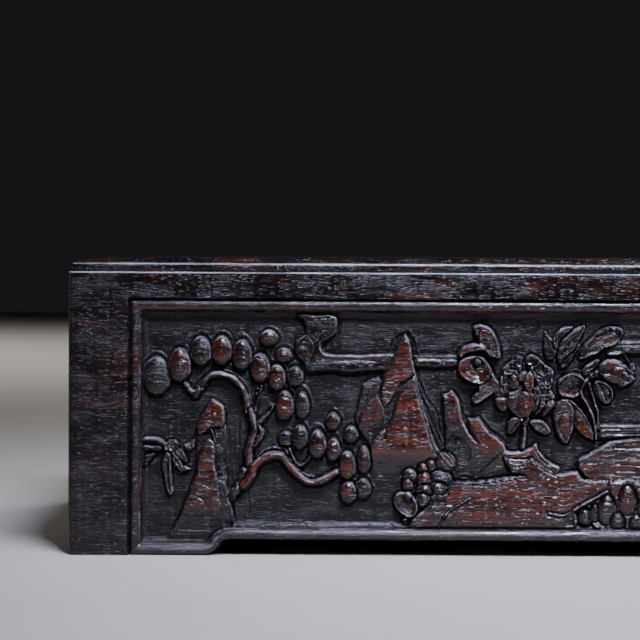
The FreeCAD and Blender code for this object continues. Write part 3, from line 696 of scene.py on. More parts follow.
@dataclass(frozen=True)
class Plate(Form):
    """One face cut within a closed outline: flat for a rock, dished for a petal, domed for a bud.

    Attributes:
        outline: its edge.
        top: its height in mm.
        lean: how much it rises over ten steps to the right, in mm.
        climb: how much it rises over ten steps upwards, in mm.
        dish: how far its middle sinks, or stands up if below zero, in mm.
        lip: how far in from the edge the dish or dome reaches, in steps.
        sink: height at its foot over which it runs out into the ground, in steps.
        low: how high it still stands at its foot, in mm.
        lines: depth of the fine level lines across it, in mm.
        chop: depth of the small gouge marks all over it, in mm.
        soft: whether its outline is drawn as a smooth curve.
        wall: width of its rounded side, in steps.
        halo: depth of the scoop round it, in mm.
        reach: how far out that scoop goes, in steps.
        warm: how red-brown it is.
        cuts: the lines cut into it.
    """

    outline: tuple[Point, ...]
    top: float = 2.8
    lean: float = 0.0
    climb: float = 0.0
    dish: float = 0.0
    lip: float = 4.0
    sink: float = 0.0
    low: float = 0.05
    lines: float = 0.0
    chop: float = 0.0
    soft: bool = True
    wall: float = 1.8
    halo: float = 0.35
    reach: float = 3.0
    warm: float = 0.3
    cuts: tuple[Cut, ...] = ()

    def carve(self, relief: Relief) -> None:
        """Cuts the face, its lines and its edge.

        Args:
            relief: the face.
        """
        outline = soften(self.outline, closed=True, steps=4) if self.soft else self.outline
        spot = relief.around(outline, margin=8.0)
        u, z = relief.u[spot], relief.z[spot]
        seed = int(self.outline[0][0] + self.outline[0][1])
        inside = inside_outline(u, z, outline) + 0.25 * ripple(u, z, 4.0, 4.0, seed)
        middle_u, middle_z = np.array(outline).mean(axis=0)
        surface = self.top + self.lean * (u - middle_u) / 10 + self.climb * (z - middle_z) / 10
        surface = surface - self.dish * smoothstep(inside / self.lip)
        tone = self.warm * smoothstep(inside / 2.0)
        if self.lines:
            level = ripple(u, z, 16.0, 1.7, seed + 1)
            surface = surface - self.lines * smoothstep((level - 0.1) / 0.5)
            tone = tone * (1 - 0.6 * smoothstep((level - 0.1) / 0.5))
        if self.chop:
            marks = np.abs(ripple(u, z, 3.6, 3.6, seed + 2))
            marks = marks + 0.6 * np.abs(ripple(u, z, 6.5, 6.5, seed + 3))
            surface = surface + self.chop * (np.clip(marks, 0, 1) - 0.7)
        surface, tone = lined(self.cuts, u, z, surface, tone)
        halo = self.halo
        if self.sink:
            out = smoothstep((z - min(point[1] for point in outline)) / self.sink)
            surface = self.low + (surface - self.low) * out
            tone = tone * smoothstep(out * 1.6 - 0.6)
            halo = halo * smoothstep((out - 0.1) / 0.6)
        relief.lay(spot, inside, np.clip(surface, 0.05, HIGHEST), tone, self.wall, halo, self.reach)


@dataclass(frozen=True)
class Stitch(Form):
    """A line of small punched dents with a raised edge beside them.

    Attributes:
        path: the points of its line.
        depth: depth of a dent, in mm.
        half: half a dent's width.
        pace: from one dent to the next.
    """

    path: tuple[Point, ...]
    depth: float = 0.35
    half: float = 1.0
    pace: float = 3.6

    def carve(self, relief: Relief) -> None:
        """Punches the dents.

        Args:
            relief: the face.
        """
        line = soften(self.path)
        spot = relief.around(line)
        gap, share, _ = along_path(relief.u[spot], relief.z[spot], line)
        knots = np.array(line)
        length = np.hypot(*(knots[1:] - knots[:-1]).T).sum()
        beat = 0.5 + 0.5 * np.sin(share * length * 2 * math.pi / self.pace)
        relief.h[spot] -= self.depth * hump(gap, 0.0, self.half) * (0.35 + 0.65 * beat)
        relief.h[spot] += 0.45 * self.depth * hump(gap, 2.3 * self.half, self.half)


# -------------------- the pattern, in the order it is cut


PINE_FOLIAGE = (
    Lobe(200.8, 218.9, 8.6, 7.2, 3.2, 0.8, 1.2, 2),
    Lobe(227.5, 180.2, 7.5, 9.2, 2.6, 0.1, 0.9, 2),
    Lobe(216.0, 201.8, 7.9, 6.6, 3.0, 0.5, 1.2, 2),
    Lobe(209.0, 179.2, 7.8, 12.6, 3.3, 0.9, 1.2, 2),
    Lobe(192.1, 189.0, 9.2, 13.8, 3.5, 0.8, 1.2, 3),
    Lobe(173.8, 202.0, 9.2, 14.4, 3.3, 0.25, 1.1, 2),
    Lobe(153.6, 206.2, 9.3, 13.8, 3.8, 1.0, 1.3, 0),
    Lobe(132.4, 205.4, 9.7, 14.2, 3.4, 0.1, 1.2, 3),
    Lobe(111.0, 191.1, 10.8, 16.2, 3.7, 0.7, 1.3, 2),
    Lobe(88.0, 180.2, 12.7, 18.6, 2.7, 0.0, 1.2, 3),
    Lobe(234.6, 150.6, 6.1, 12.4, 2.5, 0.0, 0.9, 1),
    Lobe(216.9, 151.0, 8.6, 14.2, 3.5, 0.8, 1.1, 3),
    Lobe(218.6, 117.5, 7.2, 6.6, 1.5, 0.0, 0.6, 2),
    Lobe(265.4, 135.4, 6.4, 7.8, 3.0, 0.8, 1.0, 1),
    Lobe(283.8, 122.4, 6.6, 7.8, 3.0, 0.6, 1.0, 1),
    Lobe(266.0, 106.6, 6.4, 11.4, 2.8, 0.4, 0.9, 4),
    Lobe(232.4, 119.2, 7.3, 11.6, 3.1, 0.05, 1.0, 2),
    Lobe(250.1, 112.2, 8.1, 13.6, 3.7, 0.7, 1.3, 1),
    Lobe(297.0, 96.7, 6.0, 13.0, 2.8, 0.5, 0.9, 3),
    Lobe(280.0, 91.2, 7.9, 13.6, 3.5, 0.7, 1.2, 3),
    Lobe(296.2, 67.6, 7.0, 9.6, 2.6, 0.0, 0.9, 3),
    Lobe(281.2, 63.6, 7.6, 10.6, 3.1, 0.5, 1.1, 2),
)

PINE_LIMBS = (
    Limb(((193.5, 171), (191, 160), (187.5, 148), (186.5, 134)), 1.2, 1.2, 2.0, 0.0, 0.2, 0.3),
    Limb(((189.5, 168), (187.5, 158), (184.5, 148)), 0.9, 0.9, 1.7, 0.0, 0.2, 0.1),
    Limb(((206, 152), (202, 144), (195, 137), (189, 131)), 1.4, 2.8, 2.2, 0.0, 0.3, 0.2),
    Limb(((203, 152), (199.5, 146), (193.5, 140)), 0.8, 0.8, 1.6, 0.0, 0.0, 0.0),
    Limb(((222, 107), (228, 94), (234, 91.2), (241, 96.3), (244, 104)), 1.1, 1.1, 2.2, 0.0, 0.3, 0.0),
    Limb(((219, 105), (224, 95), (229, 90)), 0.8, 0.8, 1.7, 0.0, 0.0, 0.0),
    Limb(((116.6, 172.6), (122, 165.6), (127.3, 160.3)), 2.6, 3.0, 2.3, 0.12, 0.4, 0.2),
    Limb(((127.3, 160.3), (132.4, 168.4), (137, 175)), 3.0, 3.5, 2.6, 0.12, 0.4, 0.3),
    Limb(((134, 172), (141.6, 180), (148, 182.2), (155.9, 181.8), (166.1, 177.6), (174.3, 168.4),
          (178.3, 157.9), (180.4, 144.6)),
         2.8, 3.6, 3.2, 0.2, 0.4, 0.45),
    Limb(((156, 186.5), (167, 182.5), (177, 173), (182, 161), (183.6, 147)), 0.8, 0.8, 1.6, 0.0, 0.0, 0.0),
    Limb(((189, 131), (194, 124), (191, 117), (184, 110)), 2.8, 3.7, 2.6, 0.2, 0.3, 0.8),
    Limb(((182.5, 146), (184.5, 138), (186.5, 128), (183, 116), (180.5, 104), (181.5, 90), (178.5, 74)),
         3.2, 4.9, 3.3, 0.3, 0.4, 0.5),
    Limb(((178, 84), (173, 72), (168, 64), (165, 58)), 4.9, 3.9, 2.8, 0.25, 0.4, 0.6),
    Limb(((176, 70), (182.2, 78), (187.3, 89.4), (196.5, 97.5), (206.7, 101), (214.9, 99.4), (221, 91.6),
          (228.6, 83.6), (236.8, 76.2), (246.8, 73.6), (257.7, 76.8), (270, 84.5)),
         4.6, 3.6, 3.5, 0.15, 0.5, 0.8),
    Limb(((190, 99), (197, 105.5), (206, 108.5), (212, 107.5)), 0.8, 0.8, 1.7, 0.0, 0.0, 0.0),
    Limb(((222, 97), (230, 88.5), (238, 81.5), (247, 79)), 0.8, 0.8, 1.6, 0.0, 0.0, 0.0),
    Stitch(((162.5, 61), (164.6, 50), (166.8, 37)), 0.4),
    Stitch(((180, 62), (181.5, 50), (180.5, 40)), 0.3),
    Stitch(((171.5, 136), (171, 120), (171.5, 104)), 0.25),
)

LEFT_ROCK = (
    Plate(((143.7, 157), (149, 155), (155, 151), (157, 143.8), (157.5, 118), (157, 94.8), (159, 70.8),
           (164, 46), (170, 24), (171, 14), (98, 14), (112, 40), (121, 64), (128, 84.7), (128, 106),
           (127.7, 124.7), (132, 139), (138, 149)),
          1.5, sink=30.0, soft=False, wall=4.0, halo=0.15, warm=0.2),
    Plate(((146.6, 128.6), (155.7, 129.5), (156.6, 114.2), (156.1, 95.1), (157.1, 75.9), (162.8, 47.2),
           (164.8, 28), (155.2, 28), (152.3, 56.8), (150.4, 75.9), (148.5, 95.1), (148, 112.3)),
          2.0, lean=-0.5, sink=30.0, soft=False, halo=0.0, warm=0.0),
    Plate(((144.2, 156.8), (149.4, 154.4), (155.7, 150.1), (156.6, 142.9), (156.6, 133.3), (154.2, 129.5),
           (146.6, 129.5), (141.8, 128.6), (138, 123.8), (130.3, 121.9), (128.9, 131.4), (132.2, 138.1),
           (138, 145.8), (141.8, 152.5)),
          3.2, climb=-0.2, lines=0.12, soft=False, halo=0.2, warm=1.0,
          cuts=(
              Cut(((142.5, 141), (145, 144.5), (149, 143.5)), 0.7, 1.4),
              Cut(((140, 136), (147, 134.5)), 0.3, 1.2),
          )),
    Plate(((140.8, 117.1), (146.6, 114.2), (147.5, 104.6), (146.6, 90.3), (150.4, 75.9), (151.4, 66.4),
           (152.3, 56.8), (155.2, 24), (109, 24), (116, 48), (123.6, 68.3), (129.4, 80.7), (130.3, 93.2),
           (132.2, 102.7), (137, 112.3)),
          3.0, sink=34.0, lines=0.25, soft=False, halo=0.0, warm=1.0,
          cuts=(
              Cut(((133, 72), (142, 69.5), (148, 70.5)), 0.5, 1.3),
              Cut(((127, 60), (136, 56), (139, 48)), 0.5, 1.4),
          )),
    Limb(((142.6, 128.4), (145, 123), (147.5, 114.2)), 1.0, 1.5, 2.9, 0.0, 0.0, 0.0),
    Stitch(((155.7, 128), (155.9, 108), (155.7, 85.5))),
    Stitch(((160.5, 126), (161, 106), (160.4, 86)), 0.25),
    Stitch(((163.5, 84), (165, 60), (167, 38)), 0.3),
)

BAMBOO = (
    Plate(((116, 110.4), (121.7, 112.3), (126.5, 117.1), (127.4, 113.2), (124.6, 106.5), (120.7, 104.6)),
          2.0, lean=-0.3),
    Plate(((76.7, 98.9), (80.6, 100.8), (87.3, 102.7), (83.4, 97), (79.6, 92.2), (76.7, 87.4)),
          1.7, climb=-0.3),
    Plate(((109.3, 87.4), (115, 89), (122.7, 86.5), (116, 84)), 1.8, dish=0.3, lip=2.0),
    Plate(((102.6, 102.7), (107.4, 104.6), (111.2, 97), (114.1, 90.3), (115.5, 82.6), (113.1, 83.6),
           (108.3, 89.3), (104.5, 95.1)),
          2.0, dish=0.5, lip=2.0, warm=0.0),
    Plate(((107.5, 104), (112, 106.5), (117, 101), (119.5, 93), (116.5, 94), (111.5, 98)),
          1.9, dish=0.5, lip=2.0, warm=0.0),
    Plate(((75.8, 105.6), (76.7, 110.4), (85.3, 109.4), (93, 110.4), (94.9, 106.5), (90.1, 104.6),
           (82.5, 105.6)),
          1.8, climb=-0.6, warm=0.0),
    Plate(((94, 93.2), (98.7, 104), (102.6, 98.9), (102.6, 89.3), (103.5, 75.9), (104.5, 64.5), (102.1, 59),
           (98.7, 66.4), (95.9, 79.8)),
          2.3, dish=0.5, lip=2.4, warm=0.0, cuts=(Cut(((99, 96), (100, 80), (102, 64)), 0.6, 1.2),)),
    Plate(((75.8, 114.2), (76.7, 118), (84.4, 119), (93, 117.1), (98.7, 112.3), (100.5, 106), (97.2, 105),
           (94.4, 110.4), (85.3, 114.2)),
          2.4, climb=-0.7, warm=0.0, halo=0.5),
    Plate(((97.7, 111.3), (102, 115.2), (107, 115.2), (110.3, 111.3), (108.3, 106.5), (103.5, 104.6),
           (99.5, 106.4)),
          2.3, dish=0.8, lip=2.4, warm=0.0),
    Stitch(((101, 103), (106, 97), (109, 92)), 0.4),
)

BACK_PEAK = (
    Plate(((311, 180), (303, 178), (296, 172.5), (292, 156.5), (288, 138.5), (290, 128), (318, 124),
           (318, 172)),
          1.5, sink=14.0, soft=False, warm=0.1,
          cuts=(Cut(((302, 170), (300, 156), (305, 140)), 0.4, 1.4),)),
)

TALL_PEAK = (
    Plate(((337.7, 223), (341, 217), (343.5, 209), (346.2, 192.8), (349.5, 179.8), (352, 163.8),
           (357, 147.8), (363, 127.9), (368, 113.9), (374, 103.9), (383, 97), (379, 82), (309, 81),
           (305, 110), (291, 128.5), (293, 140.6), (302, 156), (311, 164), (312.6, 168.6), (316, 182.6),
           (324, 196.7), (333, 215)),
          1.8, sink=24.0, soft=False, reach=5.0, warm=0.0),
    Limb(((323.5, 213), (326.7, 219.5), (333, 224.4), (340.3, 228.9)), 0.6, 0.6, 0.9, 0.0, 0.0, 0.0),
    Limb(((340.3, 228.9), (344.6, 223.6), (347.9, 218.4), (350.2, 211), (351.4, 203)),
         0.6, 0.6, 0.9, 0.0, 0.0, 0.0),
    Plate(((309.8, 162.4), (313.4, 155.7), (317.1, 147.2), (316.5, 138.7), (309.2, 132.7), (298.3, 129.1),
           (291.6, 130.9), (293.4, 138.7), (297.1, 147.2), (300.7, 153.3), (305.5, 158.1)),
          2.8, climb=0.3, soft=False, halo=0.0, warm=1.0),
    Plate(((337.6, 223.6), (340.7, 218.7), (342.9, 211.5), (344.3, 199.3), (347.3, 184.8), (344.3, 181.8),
           (339.5, 178.7), (333.4, 175.1), (329.8, 169), (326.1, 160.6), (321.3, 153.3), (317.1, 150.9),
           (314, 155.7), (313.4, 164.2), (315.2, 172.7), (318.3, 182.4), (323.1, 192.1), (327.4, 200.5),
           (331, 211.4), (334, 217.5)),
          3.1, lines=0.16, soft=False, wall=2.6, halo=0.0, warm=1.0,
          cuts=(Cut(((318, 170), (322, 166), (326, 164)), 0.4, 1.3),)),
    Plate(((346.7, 180.6), (349.2, 170.3), (350.4, 160.6), (354.6, 144.8), (358.9, 131.5), (362.5, 119.4),
           (366.1, 106), (373.4, 98.6), (371.4, 80.4), (305.3, 80.4), (303.7, 102.4), (304.3, 110.9),
           (306.8, 116.9), (314, 124.6), (321.3, 129.5), (324.9, 138.7), (327.4, 147.2), (330.4, 158.1),
           (332.2, 166.6), (339.5, 173.9)),
          3.5, climb=-0.05, sink=30.0, lines=0.08, soft=False, wall=2.8, halo=0.0, warm=1.0,
          cuts=(
              Cut(((322.3, 143), (318.9, 131.5), (317.7, 118.6)), 1.3, 2.2),
              Cut(((340, 148), (343, 138), (341, 128)), 0.4, 1.6),
              Cut(((348, 168), (346, 158), (349, 148)), 0.3, 1.4),
          )),
    Stitch(((352.4, 176), (360, 158), (369.8, 144.8), (374.6, 124.2), (387.9, 103.6)), 0.45),
    Stitch(((355.8, 158), (362.7, 142), (368.8, 127), (377, 109)), 0.35),
)

RIGHT_PEAKS = (
    Plate(((376, 153.7), (375.8, 162.8), (380.7, 163.4), (384.9, 167), (387.9, 163.4), (392.2, 156.7),
           (393.8, 144), (397.6, 132.5), (403.7, 121.6), (412.8, 113.7), (417, 79), (377.8, 79), (379, 127)),
          2.2, lean=0.45, sink=36.0, low=0.3, soft=False, wall=2.6, halo=0.7, reach=4.0, warm=0.75,
          cuts=(
              Cut(((377, 163), (382, 160), (384, 152)), 0.5, 1.5),
              Cut(((384, 148), (383, 132), (388, 116)), 0.5, 1.6),
          )),
    Plate(((377.5, 153), (377.8, 160.5), (382, 160.4), (386.4, 160), (388.6, 150), (391, 136), (396.5, 122),
           (404, 108), (404, 79), (379, 79), (380, 127)),
          1.9, sink=34.0, chop=0.3, soft=False, wall=2.4, halo=0.0, warm=0.05),
    Plate(((400.7, 139.1), (407.3, 139.1), (412.2, 139.7), (418.2, 130.1), (423.1, 124.6), (430.4, 120),
           (437, 113.7), (440, 105.2), (450, 79), (405.7, 79), (411, 114.9), (403.7, 127)),
          2.2, lean=0.4, sink=34.0, low=0.3, soft=False, wall=2.6, halo=0.6, reach=4.0, warm=0.85,
          cuts=(Cut(((412, 126), (416, 116), (424, 108)), 0.4, 1.5),)),
    Stitch(((398.5, 142), (405, 128), (412, 115)), 0.45),
    Stitch(((416, 138), (424, 128), (434, 121), (442, 113)), 0.4),
    Stitch(((396, 80), (408, 80), (416, 88), (424, 96), (434, 105)), 0.5),
)

NICKS = tuple(
    Cut(((u - 3.2, z + 0.8), (u, z - 1.0), (u + 3.6, z - 0.2)), 0.36, 1.4)
    for u, z in (
        (445, 69), (464, 71), (451, 63), (459, 69.5), (471, 66.5), (474, 74.5), (482, 80.5), (490, 77.5),
        (504, 76), (506, 65), (489, 62), (502, 71), (435, 65), (434, 52.5), (445, 52.5), (457, 55.5),
        (471, 46), (495, 54), (424, 70), (412, 66), (400, 69), (520, 68), (513, 73), (478, 57),
    )
)

LOW_ROCKS = (
    Plate(((437.3, 106.4), (446.3, 105.3), (457.3, 106.8), (465.8, 110.3), (469.8, 115), (472.5, 106.7),
           (480, 98), (488, 93), (494, 91), (492, 84), (446, 84), (438.1, 96.9)),
          2.7, climb=-0.25, soft=False, wall=2.6, halo=0.5, warm=1.0,
          cuts=(
              Cut(((472, 113), (478, 103), (488, 95.5)), 0.7, 1.4),
              Cut(((469.5, 108), (475, 99), (484, 92)), 0.7, 1.4),
              Cut(((440, 99.5), (455, 98.8), (466, 101)), 0.9, 1.8),
          )),
    Plate(((442.4, 95.4), (451, 93.9), (459.6, 96.2), (465.5, 99.3), (470.5, 93.9), (478.3, 89.2),
           (487.7, 84.5), (494, 83.4), (499.4, 84.5), (508, 86.1), (511.2, 86.1), (515.1, 79.8),
           (523.7, 75.9), (533.8, 76.7), (540.8, 75.9), (541.6, 69.7), (533.8, 63.4), (521.3, 55.6),
           (511.9, 47.8), (505.7, 41.5), (505.7, 14), (330, 14), (346.3, 36.8), (357.3, 46.2),
           (363.5, 55.6), (371.3, 61.8), (379.1, 68.1), (384.6, 75.9), (394.8, 75.1), (407.3, 75.4),
           (419.8, 76.7), (435.4, 79), (458.8, 82.6), (451, 86.8), (441.6, 91.5)),
          3.1, sink=30.0, low=1.7, lines=0.1, soft=False, wall=2.8, halo=0.6, reach=4.0, warm=0.9,
          cuts=NICKS + (
              Cut(((466, 97), (474, 90), (484, 84), (493, 81)), 0.5, 1.3),
              Cut(((442, 92), (450, 90.5), (459, 92.5), (465, 95)), 0.5, 1.2),
          )),
    Limb(((369.8, 26), (379.1, 41.5), (385.4, 47.8), (393.2, 52.5), (404.6, 59.7)),
         1.6, 1.3, 3.7, 0.0, 0.0, 0.2),
    Limb(((386, 74.5), (402, 74), (420, 75.5), (440, 78), (458, 81)), 0.9, 0.8, 3.5, 0.0, 0.0, 0.1),
    Limb(((482.3, 44.7), (496, 42), (505, 45), (513.5, 51), (527.6, 58.7), (541, 66)),
         1.6, 2.4, 3.4, 0.0, 0.6, 0.3),
    Plate(((501, 42), (508, 46), (512, 38), (508, 30), (498, 30)), 2.4, dish=0.6, warm=0.0),
)

HILL = Plate(((511.5, 91.4), (512, 98.5), (523, 103.9), (535.6, 111), (544.6, 116.4), (556, 118.6),
              (571, 120), (590, 119), (606, 112), (622, 104), (640, 92), (644, 78), (539, 78), (520, 81)),
             2.7, climb=0.1, lines=0.3, soft=False, wall=2.4, halo=0.6, reach=4.0, warm=0.8,
             cuts=(
                 Cut(((528, 100), (548, 99), (572, 103)), 0.3, 1.5),
                 Cut(((546, 111), (566, 110), (592, 112)), 0.3, 1.5),
                 Cut(((522, 88), (548, 87), (580, 90)), 0.3, 1.5),
             ))

CLOUDS = (
    Mass(((228.5, 243), (247, 243), (266, 242.4), (269.7, 232.4), (267.7, 223.4), (261.7, 218.7),
          (255.5, 215.3), (253.7, 209.3), (257, 204.5), (264, 202.6), (294, 202.2), (328, 202.8),
          (328, 184), (312, 186.8), (284, 184.6), (262, 186.6), (242, 185), (240, 184.3), (237, 189.2),
          (235, 196.2), (229.7, 200.2), (227, 207.2), (228.5, 216.2), (236, 221.2), (237.7, 225.2),
          (236, 236.2)),
         1.9, 2.0, warm=0.0,
         cuts=(
             Cut(((240, 222), (247, 214), (246, 204), (240, 195)), 0.7, 1.6),
             Cut(((262, 226), (254, 222), (248, 214)), 0.6, 1.5),
             Cut(((250, 197.4), (290, 196.8), (328, 197.4)), 0.5, 3.6),
             Cut(((234, 212), (240, 208), (243, 200)), 0.5, 1.4),
         ),
         soft=True, halo=0.45),
    Mass(((346, 202.5), (368, 203), (390, 202.7), (390, 191), (368, 190.2), (346, 190.8)),
         1.7, 1.8, warm=0.0, cuts=(Cut(((344, 198.6), (392, 198.8)), 0.6, 2.0, False),), halo=0.45),
    Mass(((530, 132.5), (560, 133.2), (600, 132.6), (640, 130), (640, 119), (600, 121), (560, 120.4),
          (528, 121)),
         1.7, 1.8, warm=0.0,
         cuts=(
             Cut(((534, 129.4), (600, 130), (636, 127)), 0.6, 1.3),
             Cut(((532, 124), (600, 124.4), (636, 122)), 0.5, 1.3),
         ),
         soft=True, halo=0.4),
    Mass(((546, 217), (580, 218), (620, 217.4), (650, 212), (640, 204), (600, 205.6), (548, 206)),
         1.7, 1.8, warm=0.0,
         cuts=(Cut(((548, 213.6), (600, 214), (640, 210)), 0.6, 1.3),),
         soft=True, halo=0.4),
)

CURLED_FLOWER = (
    Plate(((406.1, 231.1), (412.2, 233.3), (421.9, 230.4), (427.9, 222.9), (431.9, 211.7), (432.8, 199.6),
           (427.9, 199.8), (421.9, 202.3), (414.6, 209.7), (410.4, 218.2), (407.3, 225.1)),
          3.1, lean=-0.45, climb=-0.1, dish=0.2, lip=5.0, warm=0.1, halo=0.6, reach=3.6,
          cuts=(
              Cut(((411.6, 230.5), (410.6, 219), (413, 210)), 0.9, 1.8),
              Cut(((424, 222), (427, 212), (427.5, 204)), 0.3, 1.4),
          )),
    Plate(((391, 203.3), (393.4, 208.1), (397.6, 211.7), (404.9, 214), (413.4, 214.3), (419.4, 211.9),
           (419.4, 208.3), (412.2, 206.9), (403.7, 205.9), (397.6, 203.9), (394, 200.4)),
          3.3, climb=-0.5, dish=-0.4, lip=3.0, warm=1.0, halo=0.6),
    Plate(((423.7, 189.9), (427.9, 180.2), (434.2, 173.4), (431.6, 168.7), (424.3, 162.8), (415.8, 156.8),
           (408.5, 153.2), (405, 157.2), (407.3, 162.1), (411.6, 166.9), (411.6, 176), (416, 186)),
          3.0, lean=-0.35, dish=0.4, lip=5.0, halo=0.6),
    Plate(((390.6, 188.7), (391.8, 194.8), (397.2, 199.9), (406.1, 202), (414.6, 201), (419.9, 196),
           (423.9, 189.9), (423.1, 182.7), (418.2, 176.2), (412.2, 173.3), (404.9, 174.8), (397.2, 178.6),
           (392.2, 183.7)),
          3.5, lean=-0.22, climb=-0.15, dish=1.5, lip=9.0, wall=2.4, warm=0.75, halo=0.6,
          cuts=(Cut(((409, 199), (407, 191), (411, 183)), 0.5, 2.0),)),
    Lobe(410.0, 196.0, 3.4, 3.0, 3.3, 0.1, 1.6, 0),
)

BIG_LEAVES = (
    Plate(((477, 215), (477.4, 224.3), (478.4, 226.7), (483.2, 220.5), (488, 215.8), (489.9, 207.2),
           (487, 200.5), (482.2, 198.5), (478.4, 201.4), (477, 207.1)),
          1.7, dish=0.15, lip=3.0, warm=0.0, cuts=(Cut(((479, 222), (482, 212), (483, 202)), 0.4, 1.3),)),
    Plate(((486, 214.7), (488, 222.5), (493.7, 229.2), (500.4, 232), (505.8, 231), (499.4, 225.4),
           (491.8, 216.7), (489.9, 209)),
          2.6, dish=0.2, lip=2.6, warm=0.0, halo=0.5,
          cuts=(Cut(((489, 217), (494.5, 225), (503, 230)), 0.5, 1.1),)),
    Plate(((493.7, 197.7), (497.5, 205.3), (503.3, 207.3), (510.9, 215), (512.8, 212.1), (507.1, 202.5),
           (501.4, 193.8), (494.7, 190)),
          2.2, dish=0.15, lip=2.5, warm=0.0),
    Plate(((490.3, 203.4), (494.2, 215.4), (502.8, 225), (510.9, 231), (517.8, 232.4), (515.8, 225.5),
           (511.4, 216.6), (505.4, 207.6), (497.5, 201.6), (492.7, 194.7)),
          3.0, dish=0.3, lip=3.0, warm=0.0, halo=0.5,
          cuts=(Cut(((492.5, 202), (500, 212), (508, 222), (516, 230)), 0.7, 1.4),)),
    Plate(((511.9, 199.2), (515.7, 209.7), (522.4, 218.4), (531, 226.2), (539.6, 231), (548.2, 232),
           (554.2, 230), (556.3, 225.7), (554, 220.3), (550.1, 215.1), (545.4, 212.8), (537.7, 210.3),
           (531, 205), (522.4, 202), (516.7, 199.6)),
          3.0, dish=0.5, warm=0.15, halo=0.6,
          cuts=(
              Cut(((515, 203), (525, 213), (538, 222), (547, 226)), 0.5, 1.5),
              Cut(((550, 228), (552, 222), (549, 217)), 1.2, 3.0),
          )),
    Limb(((514, 203), (519.5, 212.5), (527, 220.5), (538, 228.5), (548, 230)),
         1.0, 0.9, 3.2, 0.0, 0.0, 0.0),
    Limb(((553, 211), (558, 203), (562.6, 196)), 1.0, 0.8, 1.7, 0.0, 0.2, 0.0),
    Plate(((540.6, 208.4), (553, 208.9), (554.9, 203.7), (545.4, 201.8), (540.6, 203.7)),
          1.5, climb=-0.5, lines=0.3, warm=0.0),
    Plate(((490.8, 174.7), (495.6, 180.8), (502.3, 184.8), (510, 185), (516.7, 181), (520, 176.8),
           (517.6, 170.4), (513.8, 164.2), (507.1, 160.2), (499.4, 161.1), (492.7, 164)),
          3.1, dish=1.2, lip=7.0, warm=0.5, halo=0.5,
          cuts=(Cut(((493, 170), (504, 165.5), (513, 167)), 0.7, 2.0),)),
    Limb(((492.5, 175), (499, 182), (508, 183.5), (516, 179), (518.5, 175)), 1.3, 1.3, 3.4, 0.0, 0.0, 0.1),
    Limb(((502, 170), (508, 175), (513, 173.5), (515.5, 170)), 0.9, 0.9, 2.9, 0.0, 0.0, 0.0),
    Plate(((493.7, 158.5), (502.3, 159.2), (510.9, 152.8), (517.6, 144.3), (522.4, 135.2), (526.2, 126.1),
           (527.4, 117.5), (522.4, 119.3), (514.8, 124.1), (509, 130.7), (505.2, 139.3), (501.3, 148.9)),
          2.9, dish=0.2, warm=0.75, halo=0.6),
    Limb(((503, 157.5), (510, 151.5), (518, 142), (524.3, 129.8)), 1.2, 1.0, 3.3, 0.0, 0.0, 0.0),
    Limb(((522.4, 174.9), (527.2, 157.7), (531, 146.2), (531.6, 128)), 1.5, 1.5, 2.5, 0.2, 0.35, 0.1),
    Limb(((521.5, 180.7), (514.4, 170.2), (515, 162.5), (520.5, 153.9), (525.6, 142.5), (528.4, 131),
          (529.4, 119)),
         1.8, 1.6, 3.4, 0.05, 0.4, 0.9),
    Plate(((487.6, 138.3), (487, 147.9), (491.3, 155.9), (497.5, 158.4), (503.3, 155), (506.4, 148),
           (507.4, 138.4), (506.4, 128.3), (503.5, 120.4), (500.2, 114), (495.2, 117.6), (490.3, 125.4)),
          3.0, dish=0.3, warm=0.35, halo=0.7, reach=3.6),
    Plate(((492.5, 137), (496.5, 144), (501.5, 141), (503.3, 132), (501.5, 124), (499, 121.5), (494.8, 127)),
          3.3, dish=-0.35, warm=0.8, halo=0.0),
)

